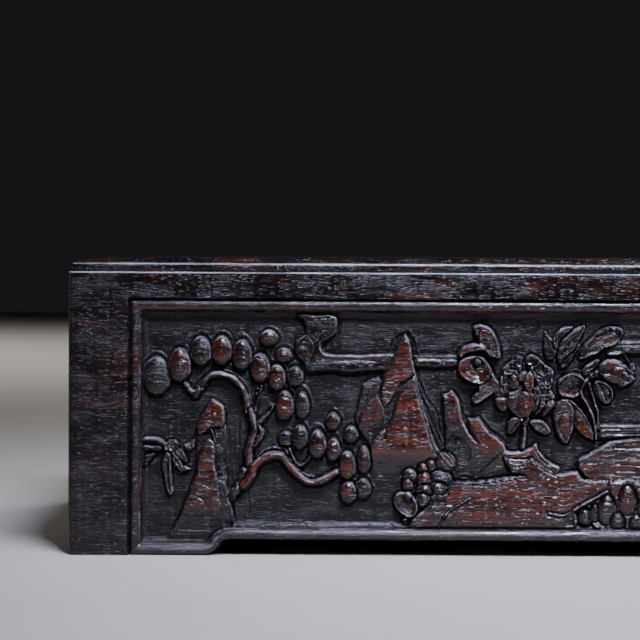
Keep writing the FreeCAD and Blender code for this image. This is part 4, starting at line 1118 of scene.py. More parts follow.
GREAT_FLOWER = (
    Limb(((461.2, 139.2), (457.8, 132.5), (457.6, 123), (455.9, 110.4)), 2.0, 2.7, 2.9, 0.15, 0.4, 0.7),
    Plate(((440.6, 126.2), (441.6, 134.6), (446.8, 140.6), (453.5, 142.5), (457.4, 140.4), (454.5, 135),
           (449.7, 128), (444, 123.2)),
          3.0, climb=0.25, dish=0.2, lip=3.0, warm=0.2, halo=0.5,
          cuts=(Cut(((443, 128), (449, 135), (456, 140)), 0.3, 1.1),)),
    Plate(((463.1, 135.4), (468.8, 138), (475.5, 137), (480.5, 133), (484.2, 126.6), (482.2, 123.7),
           (474.6, 124.1), (468.4, 128.3)),
          3.1, climb=0.2, dish=0.2, lip=3.0, warm=0.1, halo=0.5,
          cuts=(Cut(((465, 134), (474, 131.5), (482, 127)), 0.3, 1.1),)),
    Plate(((428, 160), (428.6, 169), (433, 176), (434, 184), (438, 191), (444, 196.5), (450, 198),
           (455, 192), (453, 184), (449, 176), (444, 168), (441, 160), (434, 156)),
          2.3, chop=1.5, lip=2.0, halo=0.5, warm=0.1),
    Plate(((459, 196), (466, 203), (474, 198), (480, 192), (487, 187), (486, 176), (484, 168), (488, 161),
           (484, 154), (475, 150), (472, 160), (470, 172), (466, 182)),
          2.3, chop=1.5, lip=2.0, halo=0.5, warm=0.1),
    Plate(((427.5, 158.5), (433.4, 160.8), (440.4, 158.5), (442, 151.8), (437.3, 146.4), (431.3, 149.5)),
          2.7, dish=-0.3, lip=3.0, warm=0.6),
    Plate(((444, 181.5), (448, 182), (451.8, 176.7), (452.6, 171), (446.8, 167.6), (443, 172.8)),
          2.7, dish=0.15, lip=2.5, warm=0.1),
    Plate(((468.2, 190.8), (471.7, 194), (475.5, 195.5), (478.2, 191.8), (477.6, 185.8), (474.6, 183.3),
           (470.5, 185.8)),
          2.5, dish=1.4, lip=2.5, warm=0.0),
    Plate(((474.4, 179.4), (478.4, 183.6), (482.2, 184.6), (485, 179.4), (483.4, 174.7), (478.4, 172.8),
           (475.3, 175.3)),
          2.5, dish=1.1, lip=2.5, warm=0.0),
    Plate(((480.3, 155.5), (486, 157.8), (488.4, 153.6), (484.1, 147.5), (478.4, 142.4), (475.1, 141.6),
           (477.2, 149.7)),
          2.7, dish=-0.3, lip=3.0, warm=0.6),
    Plate(((449, 195.5), (449.5, 199.6), (451.6, 201.8), (454.7, 200.6), (454.8, 196.5), (452.6, 191.3),
           (449.9, 191.3)),
          3.0, dish=0.4, lip=2.2, warm=0.1),
    Plate(((459.1, 197.5), (461.2, 201.7), (464.5, 203.7), (468.2, 200.6), (467.6, 195.4), (464, 193.2),
           (460.5, 194.2)),
          3.0, dish=0.5, lip=2.2, warm=0.1),
    Plate(((474.1, 161.4), (477.4, 163.3), (478.7, 157.4), (476.5, 150.4), (471.7, 143.5), (468.4, 142.5),
           (472.5, 151.6)),
          2.8, dish=0.3, lip=2.6),
    Plate(((466.9, 168), (470.7, 171.2), (473.5, 167), (473, 159.2), (471, 151.4), (466.9, 145),
           (464.6, 151.6), (465, 161.1)),
          3.2, lean=-0.3, warm=0.4,
          cuts=(Cut(((469.2, 168), (468.9, 158), (467.9, 150)), 0.5, 1.0),)),
    Plate(((451.4, 181.4), (455, 185.6), (459.5, 186.6), (459, 182), (455.4, 176.8), (451.8, 176.8)),
          3.2, climb=-0.5, lean=-0.2, warm=0.0),
    Plate(((441.2, 162), (442.3, 164.8), (447.8, 167.3), (451.6, 169.3), (454.2, 173.2), (455.6, 170.6),
           (454.6, 166.8), (453.4, 161), (452.6, 153.4), (454.5, 146.7), (457.4, 141), (451.6, 140.9),
           (445.7, 145), (441.6, 151.3), (440.2, 157.2)),
          3.4, dish=-0.25, lip=5.0, warm=0.6, halo=0.6,
          cuts=(Cut(((444, 161), (449, 163), (452, 167)), 0.4, 1.2),)),
    Plate(((459.3, 167.4), (464, 167.4), (466.7, 161.2), (466.3, 151.6), (463.3, 143.4), (459.3, 140.1),
           (455.2, 143.4), (452.2, 151.5), (452.2, 159.2), (455.2, 166.4)),
          3.3, dish=-0.35, lip=5.0, warm=1.0,
          cuts=(
              Cut(((462.1, 166), (462.4, 158), (461, 148)), 0.5, 1.0),
              Cut(((456, 163), (455.6, 156), (457, 148)), 0.4, 1.0),
          )),
    Plate(((463.1, 187), (466, 182.2), (466.9, 176.4), (466.2, 170.3), (464.2, 167), (460.2, 167),
           (457.6, 170.2), (456, 176.4), (459.1, 182.3)),
          3.7, dish=-0.1, lip=3.0, warm=1.0,
          cuts=(Cut(((463.4, 183), (464.2, 176), (463, 170)), 0.4, 1.0),)),
)

LILY_BUD = (
    Plate(((551.1, 198.3), (556.8, 194.6), (561.6, 189.9), (567.4, 186), (565.4, 182.3), (558.8, 186.1)),
          2.6, dish=0.2, lip=2.4, warm=0.0),
    Plate(((563.2, 187.5), (564.2, 193.2), (567.6, 195.4), (568.2, 188.5)),
          2.1, dish=0.15, lip=2.0, warm=0.0),
    Plate(((527, 175.3), (532, 177.8), (538.7, 176), (544.6, 170.6), (546.7, 162.5), (543.6, 156.2),
           (536.7, 155), (530.8, 161.1), (527.7, 167.2)),
          2.9, dish=1.0, warm=0.1, halo=0.6,
          cuts=(Cut(((542.5, 171), (543.6, 165), (542, 159)), 0.5, 1.3),)),
    Plate(((528.6, 175.2), (532.2, 173.4), (536.9, 163.5), (538, 158.5), (534.8, 157.2), (530.8, 165.3)),
          3.3, lean=-0.3, warm=0.0, halo=0.3),
    Lobe(524.3, 183.5, 4.4, 3.2, 2.8, 0.1, 0.9, 1),
    Lobe(530.4, 185.0, 3.2, 3.2, 3.0, 0.1, 0.9, 1),
    Plate(((516.5, 187.3), (520.3, 193.4), (528.1, 198.3), (532.9, 198.2), (529.4, 192.1), (522.4, 185.9),
           (517.4, 182.8)),
          3.0, climb=-0.35, dish=0.15, lip=3.0, warm=0.0, halo=0.5),
    Plate(((551.1, 180.9), (558.8, 185), (567.8, 181.2), (566.6, 176.6), (558.8, 172.4), (551.7, 172.3)),
          3.3, dish=-0.3, warm=0.9, halo=0.6),
    Plate(((532.5, 192.1), (538.4, 198.4), (548.2, 199.3), (555.3, 193.5), (559.2, 186.6), (561, 182.8),
           (556.8, 176.4), (548.2, 174.2), (542.3, 177), (535.4, 181.1), (532.4, 186.4)),
          3.5, dish=-0.3, lip=6.0, lines=0.3, warm=1.0, halo=0.6),
    Lobe(557.8, 183.0, 2.6, 3.4, 3.8, 0.0, 3.0, 0),
)

LOW_BUSH = (
    Limb(((352, 66), (350, 50), (338, 36)), 2.0, 2.4, 2.2, 0.1, 0.4, 0.1),
    Lobe(343.2, 80.6, 6.2, 6.8, 2.5, 0.1, 0.9, 2),
    Lobe(341.0, 72.0, 4.4, 6.0, 2.6, 0.4, 0.9, 1),
    Lobe(364.3, 91.5, 4.6, 5.6, 2.8, 0.1, 0.9, 1),
    Lobe(356.5, 88.4, 3.6, 4.6, 2.9, 0.8, 0.9, 0),
    Lobe(379.0, 95.0, 9.5, 10.0, 3.0, 0.2, 0.9, 3),
    Plate(((373, 103), (378, 104.5), (384, 99), (388, 92), (384, 91), (378, 97)),
          3.3, dish=0.5, lip=2.4, warm=0.5, halo=0.2),
    Lobe(374.0, 78.5, 10.5, 8.0, 3.1, 0.1, 0.9, 3),
    Lobe(357.5, 76.5, 6.6, 8.0, 3.0, 0.7, 0.9, 1),
    Lobe(371.3, 68.5, 9.0, 6.6, 3.2, 0.1, 0.9, 2),
    Lobe(358.0, 66.5, 7.5, 6.0, 3.1, 0.1, 0.9, 1),
    Plate(((364, 60), (370, 62), (377, 60), (376, 54), (368, 52)),
          2.6, climb=-0.4, dish=0.3, lip=2.5, warm=0.0),
    Lobe(356.5, 57.0, 6.8, 7.0, 3.0, 0.0, 0.9, 2),
    Plate(((327.2, 57.2), (332, 63.8), (340.1, 63.9), (346.7, 60.3), (350.8, 50.9), (349.6, 42.3),
           (343.2, 39), (335, 42.5), (328.7, 49.3)),
          3.0, lean=-0.1, dish=1.3, lip=5.0, wall=2.2, warm=0.2, halo=0.6),
    Lobe(341.5, 61.0, 3.0, 4.0, 3.3, 0.3, 1.0, 0),
)

RIGHT_BUSH = (
    Lobe(519.8, 40.5, 7.0, 8.0, 2.3, 0.0, 0.6, 2),
    Lobe(529.5, 45.0, 5.5, 9.0, 2.5, 0.0, 0.6, 2),
    Lobe(541.5, 47.8, 9.0, 15.5, 3.1, 0.1, 0.9, 3),
    Lobe(562.0, 57.9, 9.5, 15.0, 3.3, 0.5, 0.9, 2),
    Lobe(582.0, 50.0, 10.0, 13.0, 3.1, 0.2, 0.9, 3),
    Lobe(552.0, 36.0, 7.0, 8.0, 2.8, 0.1, 0.6, 2),
    Lobe(571.0, 35.0, 7.0, 8.0, 2.8, 0.1, 0.6, 2),
)

PINE_GROUP: tuple[Form, ...] = LEFT_ROCK + PINE_LIMBS + PINE_FOLIAGE
ROCK_GROUP: tuple[Form, ...] = BACK_PEAK + TALL_PEAK + RIGHT_PEAKS + LOW_ROCKS + LOW_BUSH
SEEN_HALF: tuple[Form, ...] = (
    CLOUDS + BAMBOO + BACK_PEAK + TALL_PEAK + PINE_GROUP + (HILL,) + RIGHT_PEAKS
    + CURLED_FLOWER + BIG_LEAVES + LILY_BUD + GREAT_FLOWER + LOW_ROCKS + LOW_BUSH + RIGHT_BUSH
)


def group(
    forms: Sequence[Form], along: float = 0.0, up: float = 0.0, mirror: bool = False
) -> tuple[Form, ...]:
    """Copies a group of forms to another place on a face."""
    return tuple(moved(form, along, up, mirror) for form in forms)


def front_pattern(width: float) -> tuple[Form, ...]:
    """Puts together the front's scene: pines at both ends, peaks, the great flower left of the middle.

    Args:
        width: the wall's length in steps.

    Returns:
        The forms in the order they are cut.
    """
    return (
        group(CLOUDS[:1], along=1000.0, mirror=True)
        + group(ROCK_GROUP, along=width + 90.0, mirror=True)
        + SEEN_HALF
        + group(PINE_GROUP + BAMBOO, along=width, mirror=True)
    )


def back_pattern(width: float) -> tuple[Form, ...]:
    """The scene on the back, the same hills and pines from the other side."""
    return group(front_pattern(width), along=width, mirror=True)


def end_pattern() -> tuple[Form, ...]:
    """Puts together the scene on an end: a pine on the left and a peak on the right.

    Returns:
        The forms in the order they are cut.
    """
    peaks = CLOUDS[:2] + BACK_PEAK + TALL_PEAK + RIGHT_PEAKS[:1] + LOW_ROCKS + LOW_BUSH
    return group(peaks, along=60.0) + PINE_GROUP + BAMBOO


# -------------------- the finishes


def add(tree: Tree, kind: str, settings: dict | None = None, **inputs: object) -> bpy.types.Node:
    """Adds a node, sets it up and feeds it.

    Args:
        tree: the tree it joins.
        kind: the node's type.
        settings: its properties.
        inputs: what goes into its inputs, a value or another node's output each, by name with
            underscores for spaces, or by number as _0, _1 and so on.

    Returns:
        The node.
    """
    node = tree.nodes.new(kind)
    for key, value in (settings or {}).items():
        setattr(node, key, value)
    for key, value in inputs.items():
        socket = node.inputs[int(key[1:])] if key[0] == "_" else node.inputs[key.replace("_", " ")]
        if isinstance(value, Socket):
            tree.links.new(value, socket)
        else:
            socket.default_value = value
    return node


def blend_range(tree: Tree, value: Socket, low: float, high: float) -> Socket:
    """A smooth 0 to 1 as a value goes from low to high."""
    return add(tree, "ShaderNodeMapRange", {"interpolation_type": "SMOOTHSTEP"}, Value=value,
               From_Min=low, From_Max=high).outputs[0]


def combine(tree: Tree, how: str, a: object, b: object) -> Socket:
    """One value from two, by a Math node."""
    return add(tree, "ShaderNodeMath", {"operation": how, "use_clamp": False}, _0=a, _1=b).outputs[0]


def times(tree: Tree, a: object, b: object) -> Socket:
    """Two values multiplied."""
    return combine(tree, "MULTIPLY", a, b)


def plus(tree: Tree, a: object, b: object) -> Socket:
    """Two values added."""
    return combine(tree, "ADD", a, b)


def worked(tree: Tree, name: str) -> Socket:
    """One of the carver's masks, which hold wear with a painted warm reflection, sunk ground with painted
    shade on the stiles, and rubbed edges with a painted highlight.
    """
    return add(tree, "ShaderNodeAttribute", {"attribute_name": name}).outputs["Fac"]


def tint(tree: Tree, share: object, a: object, b: object) -> Socket:
    """Mixes two colours.

    Args:
        tree: the tree it is done in.
        share: how much of b there is.
        a: a colour, or another node's output.
        b: the same.

    Returns:
        The mixed colour.
    """
    mix = add(tree, "ShaderNodeMix", {"data_type": "RGBA"})
    for socket, value in ((mix.inputs[0], share), (mix.inputs[6], a), (mix.inputs[7], b)):
        if isinstance(value, Socket):
            tree.links.new(value, socket)
        else:
            socket.default_value = value
    return mix.outputs[2]


@dataclass(frozen=True)
class Figure:
    """One kind of figure in the wood, as a noise.

    Attributes:
        stretch: how many of its features go into a metre along the grain, across it and upwards.
        detail: how finely it is broken up.
        rough: how strong the finest of it is.
        low: value of the noise below which there is none of it.
        high: value above which there is all of it.
    """

    stretch: Stretch
    detail: float
    rough: float
    low: float = 0.0
    high: float = 1.0


GRAIN_MASKS = ("Streak", "Fibre", "Pore", "Patch", "Chatter")
STREAK = Figure((38, 420, 620), 4.0, 0.6, 0.36, 0.66)
FIBRE = Figure((230, 2200, 2700), 3.0, 0.65, 0.32, 0.70)
CLUSTER = Figure((60, 150, 190), 3.0, 0.6, 0.42, 0.62)
PATCH = Figure((45, 130, 190), 5.0, 0.62, 0.46, 0.64)
CHATTER = Figure((1100, 2300, 2300), 2.0, 0.7)
PORES = (  # three kinds, each with its stretch and the share of the cells that have one
    ((330, 1500, 1900), 0.5),
    ((150, 1300, 2100), 0.35),
    ((420, 2300, 2700), 0.5),
)
PORE_EDGE = (0.36, 0.14)  # distances from a pore's middle where it starts and is full


def grain_group() -> Tree:
    """Builds the hardwood grain that every finish shares.

    Returns:
        A group that takes a Vector in metres with the grain along X, and gives Streak, Fibre, Pore,
        Patch and Chatter masks between 0 and 1.
    """
    name = "hardwood_grain"
    if name in bpy.data.node_groups:
        return bpy.data.node_groups[name]
    tree = bpy.data.node_groups.new(name, "ShaderNodeTree")
    tree.interface.new_socket("Vector", in_out="INPUT", socket_type="NodeSocketVector")
    for output in GRAIN_MASKS:
        tree.interface.new_socket(output, in_out="OUTPUT", socket_type="NodeSocketFloat")
    start, end = tree.nodes.new("NodeGroupInput"), tree.nodes.new("NodeGroupOutput")

    def scaled(stretch: Stretch) -> Socket:
        """The coordinates stretched for one kind of figure."""
        return add(tree, "ShaderNodeMapping", Vector=start.outputs[0], Scale=stretch).outputs[0]

    def noise(figure: Figure) -> Socket:
        """The plain noise of one kind of figure."""
        return add(tree, "ShaderNodeTexNoise", Vector=scaled(figure.stretch), Scale=1.0,
                   Detail=figure.detail, Roughness=figure.rough).outputs[0]

    def drawn(figure: Figure) -> Socket:
        """Where there is one kind of figure, 0 to 1."""
        return blend_range(tree, noise(figure), figure.low, figure.high)

    def dashes(stretch: Stretch, share: float) -> Socket:
        """Draws short dashes along the grain.

        Args:
            stretch: how many cells go into a metre along the grain, across it and upwards.
            share: the share of the cells that have a dash.

        Returns:
            Where there are dashes, 0 to 1.
        """
        cells = add(tree, "ShaderNodeTexVoronoi", {"feature": "F1"}, Vector=scaled(stretch),
                    Scale=1.0, Randomness=1.0)
        gate = add(tree, "ShaderNodeSeparateColor", Color=cells.outputs["Color"]).outputs[0]
        there = combine(tree, "LESS_THAN", gate, share)
        return times(tree, blend_range(tree, cells.outputs["Distance"], *PORE_EDGE), there)

    streak, fibre, cluster, patch = drawn(STREAK), drawn(FIBRE), drawn(CLUSTER), drawn(PATCH)
    bunched = plus(tree, times(tree, cluster, 0.75), 0.25)
    fibre = times(tree, fibre, bunched)
    pore = dashes(*PORES[0])
    for kind in PORES[1:]:
        pore = combine(tree, "MAXIMUM", pore, dashes(*kind))
    for output, value in zip(GRAIN_MASKS, (streak, fibre, pore, patch, noise(CHATTER))):
        tree.links.new(value, end.inputs[output])
    return tree


class Grain(Enum):
    """Which way a piece's grain runs."""

    ACROSS = 0.0
    DEEP = math.pi / 2


@dataclass(frozen=True)
class Rosewood:
    """Dark oiled hardwood with red-brown figure.

    Attributes:
        dark: colour of the dark wood.
        red: colour of the red-brown figure.
        figure: how much of the red-brown shows on plain faces.
        pale: colour of the rubbed edges and of the painted highlight on them.
        rub: how far the edges go towards it, as wear and painted highlight.
        pores: how pale the open pores are, pale filler that also stands in for painted glints.
        polish: roughness of the finish where it is handled.
        dull: roughness in the grounds.
        rim: heights in metres between which a highlight is painted pale all along the edge.
        rim_pale: colour of that painted highlight.
        carved: whether the piece has the carver's masks.
    """

    dark: Colour = (0.0034, 0.0022, 0.0026)
    red: Colour = (0.125, 0.017, 0.0025)
    pale: Colour = (0.52, 0.48, 0.53)
    figure: float = 0.3
    rub: float = 0.62
    pores: float = 0.06
    polish: float = 0.20
    dull: float = 0.36
    rim: tuple[float, float] = (0.0, 0.0)
    rim_pale: Colour = (0.40, 0.38, 0.42)
    carved: bool = False

    RIM_FADE = 0.0002  # height in metres over which the painted highlight of the rim fades
    GRAIN_DEPTH = 0.00010  # depth of the open grain in metres

    def redness(self, tree: Tree, wood: dict[str, Socket]) -> Socket:
        """Works out how much of the red-brown shows.

        Args:
            tree: the material's tree.
            wood: the masks of the grain.

        Returns:
            The share of red-brown, 0 to 1.
        """
        share = times(tree, times(tree, wood["Patch"], wood["Streak"]), self.figure)
        if self.carved:
            streaky = plus(tree, times(tree, wood["Streak"], 0.75), 0.25)
            # The wear mask holds red-brown wear and a painted warm reflection on the bead's underside.
            share = plus(tree, share, times(tree, worked(tree, "worn"), streaky))
            share = times(tree, share, combine(tree, "SUBTRACT", 1.0, worked(tree, "sunk")))
        return add(tree, "ShaderNodeClamp", Value=share).outputs[0]

    def colour(self, tree: Tree, wood: dict[str, Socket], redness: Socket, place: Socket) -> Socket:
        """Colours the wood, its rubbed edges with their painted highlight, its pores with their pale filler
        and painted glints, and any painted highlight line along the rim.

        Args:
            tree: the material's tree.
            wood: the masks of the grain.
            redness: how much of the red-brown shows.
            place: the coordinates in metres.

        Returns:
            The colour.
        """
        streak, fibre = wood["Streak"], wood["Fibre"]
        fibred = times(tree, redness, plus(tree, times(tree, fibre, 0.5), 0.5))
        colour = tint(tree, fibred, (*self.dark, 1), (*self.red, 1))
        if self.carved:
            # Rubbed edges go pale: wear, and a painted highlight on the edges that face the light.
            broken = plus(tree, times(tree, streak, 0.7), 0.3)
            broken = times(tree, times(tree, worked(tree, "arris"), broken), self.rub)
            colour = tint(tree, broken, colour, (*self.pale, 1))
        # Pale filler in the pores, which also stands in for painted glints on their edges.
        pale_pores_and_glints = times(tree, times(tree, wood["Pore"], streak), self.pores)
        colour = tint(tree, pale_pores_and_glints, colour, (*self.pale, 1))
        # A pale line painted along the rim between set heights: a painted highlight.
        low, high = self.rim
        if high > low:
            level = add(tree, "ShaderNodeSeparateXYZ", Vector=place).outputs[2]
            above = blend_range(tree, level, low - self.RIM_FADE, low)
            below = blend_range(tree, level, high + self.RIM_FADE, high)
            broken = plus(tree, times(tree, streak, 0.7), times(tree, fibre, 0.5))
            line = times(tree, times(tree, above, below), plus(tree, broken, 0.08))
            colour = tint(tree, line, colour, (*self.rim_pale, 1))
        return colour

    def bumps(self, tree: Tree, wood: dict[str, Socket], redness: Socket) -> Socket:
        """Raises the fibres, opens the pores and leaves the tool's chatter on carved ground.

        Args:
            tree: the material's tree.
            wood: the masks of the grain.
            redness: how much of the red-brown shows.

        Returns:
            The direction the surface faces.
        """
        height = combine(tree, "SUBTRACT", times(tree, wood["Fibre"], 0.8), wood["Pore"])
        if self.carved:
            marks = times(tree, wood["Chatter"], plus(tree, worked(tree, "sunk"), 0.25))
            height = plus(tree, height, times(tree, marks, 1.2))
            calm = combine(tree, "SUBTRACT", 1.0, times(tree, redness, 0.55))
            height = times(tree, height, calm)
        return add(tree, "ShaderNodeBump", Height=height, Strength=1.0, Distance=self.GRAIN_DEPTH).outputs[0]

    def material(self, name: str, grain: Grain) -> bpy.types.Material:
        """Makes the finish as a material.

        Args:
            name: the material's name.
            grain: which way the grain runs.

        Returns:
            The material.
        """
        material = bpy.data.materials.new(name)
        material.use_nodes = True
        tree = material.node_tree
        shader = tree.nodes["Principled BSDF"]
        shader.inputs["Specular IOR Level"].default_value = 0.5
        shader.inputs["IOR"].default_value = 1.5
        place = add(tree, "ShaderNodeTexCoord").outputs["Object"]
        turned = add(tree, "ShaderNodeMapping", Vector=place, Rotation=(0.0, 0.0, grain.value)).outputs[0]
        grained = add(tree, "ShaderNodeGroup", {"node_tree": grain_group()}, Vector=turned)
        wood = {key: grained.outputs[key] for key in GRAIN_MASKS}
        redness = self.redness(tree, wood)
        rough: object = self.polish
        if self.carved:
            sunk = worked(tree, "sunk")
            rough = add(tree, "ShaderNodeMapRange", Value=sunk, To_Min=rough, To_Max=self.dull).outputs[0]
            shine = add(tree, "ShaderNodeMapRange", Value=sunk, To_Min=0.55, To_Max=0.34).outputs[0]
            tree.links.new(shine, shader.inputs["Specular IOR Level"])
        rough = plus(tree, times(tree, wood["Fibre"], 0.10), rough)
        tree.links.new(rough, shader.inputs["Roughness"])
        tree.links.new(self.colour(tree, wood, redness, place), shader.inputs["Base Color"])
        tree.links.new(self.bumps(tree, wood, redness), shader.inputs["Normal"])
        return material


@dataclass(frozen=True)
class PaleFloor:
    """A plain pale painted floor."""

    colour: Colour = (0.50, 0.46, 0.42)

    def material(self) -> bpy.types.Material:
        """Makes the finish as a material.

        Returns:
            The material.
        """
        material = bpy.data.materials.new("pale_floor")
        material.use_nodes = True
        shader = material.node_tree.nodes["Principled BSDF"]
        shader.inputs["Base Color"].default_value = (*self.colour, 1)
        shader.inputs["Roughness"].default_value = 0.7
        return material


# -------------------- the pieces


def finished(name: str, mesh: bpy.types.Mesh, material: bpy.types.Material) -> bpy.types.Object:
    """Puts a mesh in the scene with its finish on it.

    Args:
        name: the piece's name.
        mesh: its shape.
        material: its finish.

    Returns:
        The piece.
    """
    mesh.name = name
    mesh.materials.clear()
    mesh.materials.append(material)
    piece = bpy.data.objects.new(name, mesh)
    bpy.context.scene.collection.objects.link(piece)
    log.info("%s: %d faces", name, len(mesh.polygons))
    return piece


def thinned(mesh: bpy.types.Mesh, share: float) -> bpy.types.Mesh:
    """Leaves only a share of a mesh's faces, fewest where it is flat.

    Args:
        mesh: the mesh, which is used up.
        share: the share of its faces that is left.

    Returns:
        The thinned mesh.
    """
    piece = bpy.data.objects.new("thinning", mesh)
    bpy.context.scene.collection.objects.link(piece)
    piece.modifiers.new("thin", "DECIMATE").ratio = share
    thin = bpy.data.meshes.new_from_object(piece.evaluated_get(bpy.context.evaluated_depsgraph_get()))
    bpy.data.objects.remove(piece)
    bpy.data.meshes.remove(mesh)
    return thin


def spread(values: Field, reach: int) -> Field:
    """Averages a field over squares.

    Args:
        values: the field.
        reach: how many points a square reaches from its middle.

    Returns:
        The averages.
    """
    width = 2 * reach + 1
    for axis in (0, 1):
        padded = np.pad(values, [(reach + 1, reach) if a == axis else (0, 0) for a in (0, 1)], mode="edge")
        total = np.cumsum(padded, axis=axis)
        ahead = np.take(total, np.arange(width, total.shape[axis]), axis=axis)
        behind = np.take(total, np.arange(0, total.shape[axis] - width), axis=axis)
        values = (ahead - behind) / width
    return values


class Side(Enum):
    """The four walls, by quarter turns from the front."""

    FRONT = 0
    RIGHT = 1
    BACK = 2
    LEFT = 3


@dataclass(frozen=True)
class CarvedWall:
    """One thick wall, its outer face carved, mitred at both ends.

    Attributes:
        side: which wall it is.
        length: its length in mm.
        half: middle of the box to its outer face, in mm.
        forms: what is carved on it, in the order it is cut.
        seed: number that sets its unevenness.
        most_faces: how many faces its carving may have.
        height: feet to rim in mm.
        pitch: distance between the points of its relief, in mm.
        fine: how far from its left end the finest carving reaches, in mm.
        moulding: the frame round its field.
    """

    side: Side
    length: float
    half: float
    forms: tuple[Form, ...]
    seed: int
    most_faces: int = 90000
    height: float = RIM_HEIGHT
    pitch: float = 0.5
    fine: float = math.inf
    moulding: Moulding = Moulding()

    COVE = 4.3  # the forms stop where the cove begins, in mm from the moulding's outer edge
    BEAD_CROWN = 2.4  # where the bead's crown takes the light and a pale highlight is painted, in mm from the same edge
    BEAD_UNDERSIDE = 3.6  # where the bead turns down and a warm reflection is painted on it
    STILE_EDGE = 62.0  # how far from its ends a wall gets painted shade, in steps
    BLOTCHES = Waver(1.0, 40.0, 22.0)
    FAINTNESS = Waver(1.0, 14.0, 4.0)
    SPECKS = Waver(1.0, 5.0, 3.0)

    def carve(self) -> Relief:
        """Carves the face.

        Returns:
            The finished relief.
        """
        relief = Relief(self.length, self.height, self.pitch, self.fine, self.moulding)
        framed = relief.h.copy()
        for form in self.forms:
            form.carve(relief)
        edge = smoothstep((relief.inward - self.COVE) / 1.0)
        relief.h = framed * (1 - edge) + relief.h * edge
        relief.weather(self.seed)
        return relief

    def masks(self, relief: Relief) -> dict[str, Field]:
        """Finds where the wood is red-brown, with a painted warm reflection on the bead's underside; where
        it is sunk and dark, with painted shade on the stiles; and where its edges are rubbed pale, with a
        painted highlight on those that face the light and on the bead's crown.

        Args:
            relief: the carved face.

        Returns:
            The masks by name.
        """
        fine = relief.h - spread(relief.h, 1)
        near = relief.h - spread(relief.h, 3)
        wide = relief.h - spread(relief.h, 12)
        up = np.gradient(relief.h, axis=0)
        along = np.gradient(relief.h, axis=1)
        # lit: slopes facing up and to the right, towards the key light, where the highlight is painted.
        lit = 0.08 + 0.92 * smoothstep((0.02 - 0.8 * up - 0.45 * along) / 0.28)
        blotch = 0.5 + 0.5 * self.BLOTCHES.at(relief.u, relief.z, self.seed + 11)
        faint = 0.5 + 0.5 * self.FAINTNESS.at(relief.u, relief.z, self.seed + 12)
        speck = 0.5 + 0.5 * self.SPECKS.at(relief.u, relief.z, self.seed + 13)
        carved = relief.warm * (0.30 + 0.70 * blotch) * (0.30 + 0.70 * faint) * 1.8
        frame = relief.frame_mask * smoothstep((blotch * faint - 0.36) / 0.3) * 0.3
        # Red-brown painted on the bead's downward-facing flank: a painted warm reflection from below.
        underside = hump(relief.inward, self.BEAD_UNDERSIDE, 0.7)
        underside = underside * smoothstep(up / 0.1) * (0.2 + 0.9 * blotch)
        sunk = smoothstep((0.7 - relief.h) / 0.9) * 0.7 + smoothstep((-wide - 0.25) / 0.9)
        rubbed = smoothstep((fine - 0.05) / 0.14) + smoothstep((near - 0.45) / 0.5) * 0.2
        # The pale edge mask: some wear on every edge, and a painted highlight on the lit ones.
        arris = rubbed * lit * (0.25 + 0.75 * speck) * smoothstep((relief.inward - 0.6) / 0.3)
        # A pale band painted along the bead's upward-facing crown: a painted highlight.
        crown = hump(relief.inward, self.BEAD_CROWN, 1.2) * smoothstep((0.01 - up) / 0.07)
        arris = arris + 0.5 * crown * (0.35 + 0.65 * speck) * smoothstep((relief.inward - 0.7) / 0.4)
        # Painted shade: the stiles at both ends of a wall are made less red, duller and less shiny.
        stile = np.minimum(relief.u, relief.u.max() - relief.u)
        stile = smoothstep((self.STILE_EDGE - stile) / 6.0)
        sunk = sunk + 0.4 * stile * relief.frame_mask
        masks = {"worn": carved + frame + underside, "sunk": sunk, "arris": arris}
        return {name: np.clip(mask, 0.0, 1.0) for name, mask in masks.items()}

    def build(self, material: bpy.types.Material) -> bpy.types.Object:
        """Makes the board from its relief.

        Args:
            material: its finish.

        Returns:
            The finished board.
        """
        relief = self.carve()
        rows, columns = relief.h.shape
        shell = bmesh.new()
        bmesh.ops.create_grid(shell, x_segments=columns - 1, y_segments=rows - 1, size=0.5)
        mesh = bpy.data.meshes.new("face")
        shell.to_mesh(mesh)
        shell.free()
        spots = np.empty(rows * columns * 3)
        mesh.vertices.foreach_get("co", spots)
        spots = spots.reshape(-1, 3)
        column = np.rint((spots[:, 0] + 0.5) * (columns - 1)).astype(int)
        row = np.rint((spots[:, 1] + 0.5) * (rows - 1)).astype(int)
        depth = relief.depth()[row, column]
        x = relief.u[row, column] / PER_MM - self.length / 2
        z = relief.z[row, column] / PER_MM
        places = np.stack([x, depth - self.half, z], axis=1) * MM
        mesh.vertices.foreach_set("co", places.ravel())
        for name, mask in self.masks(relief).items():
            values = mesh.attributes.new(name, "FLOAT", "POINT").data
            values.foreach_set("value", mask[row, column])
        faces = 2 * (rows - 1) * (columns - 1)
        mesh = thinned(mesh, min(1.0, self.most_faces / faces))
        self.close(mesh)
        mesh.transform(Matrix.Rotation(self.side.value * math.pi / 2, 4, "Z"))
        name = self.side.name.lower()
        wall = finished(f"{name}_wall_carved", mesh, material)
        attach(wall, "case")
        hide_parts(f"{name}_board")
        return wall

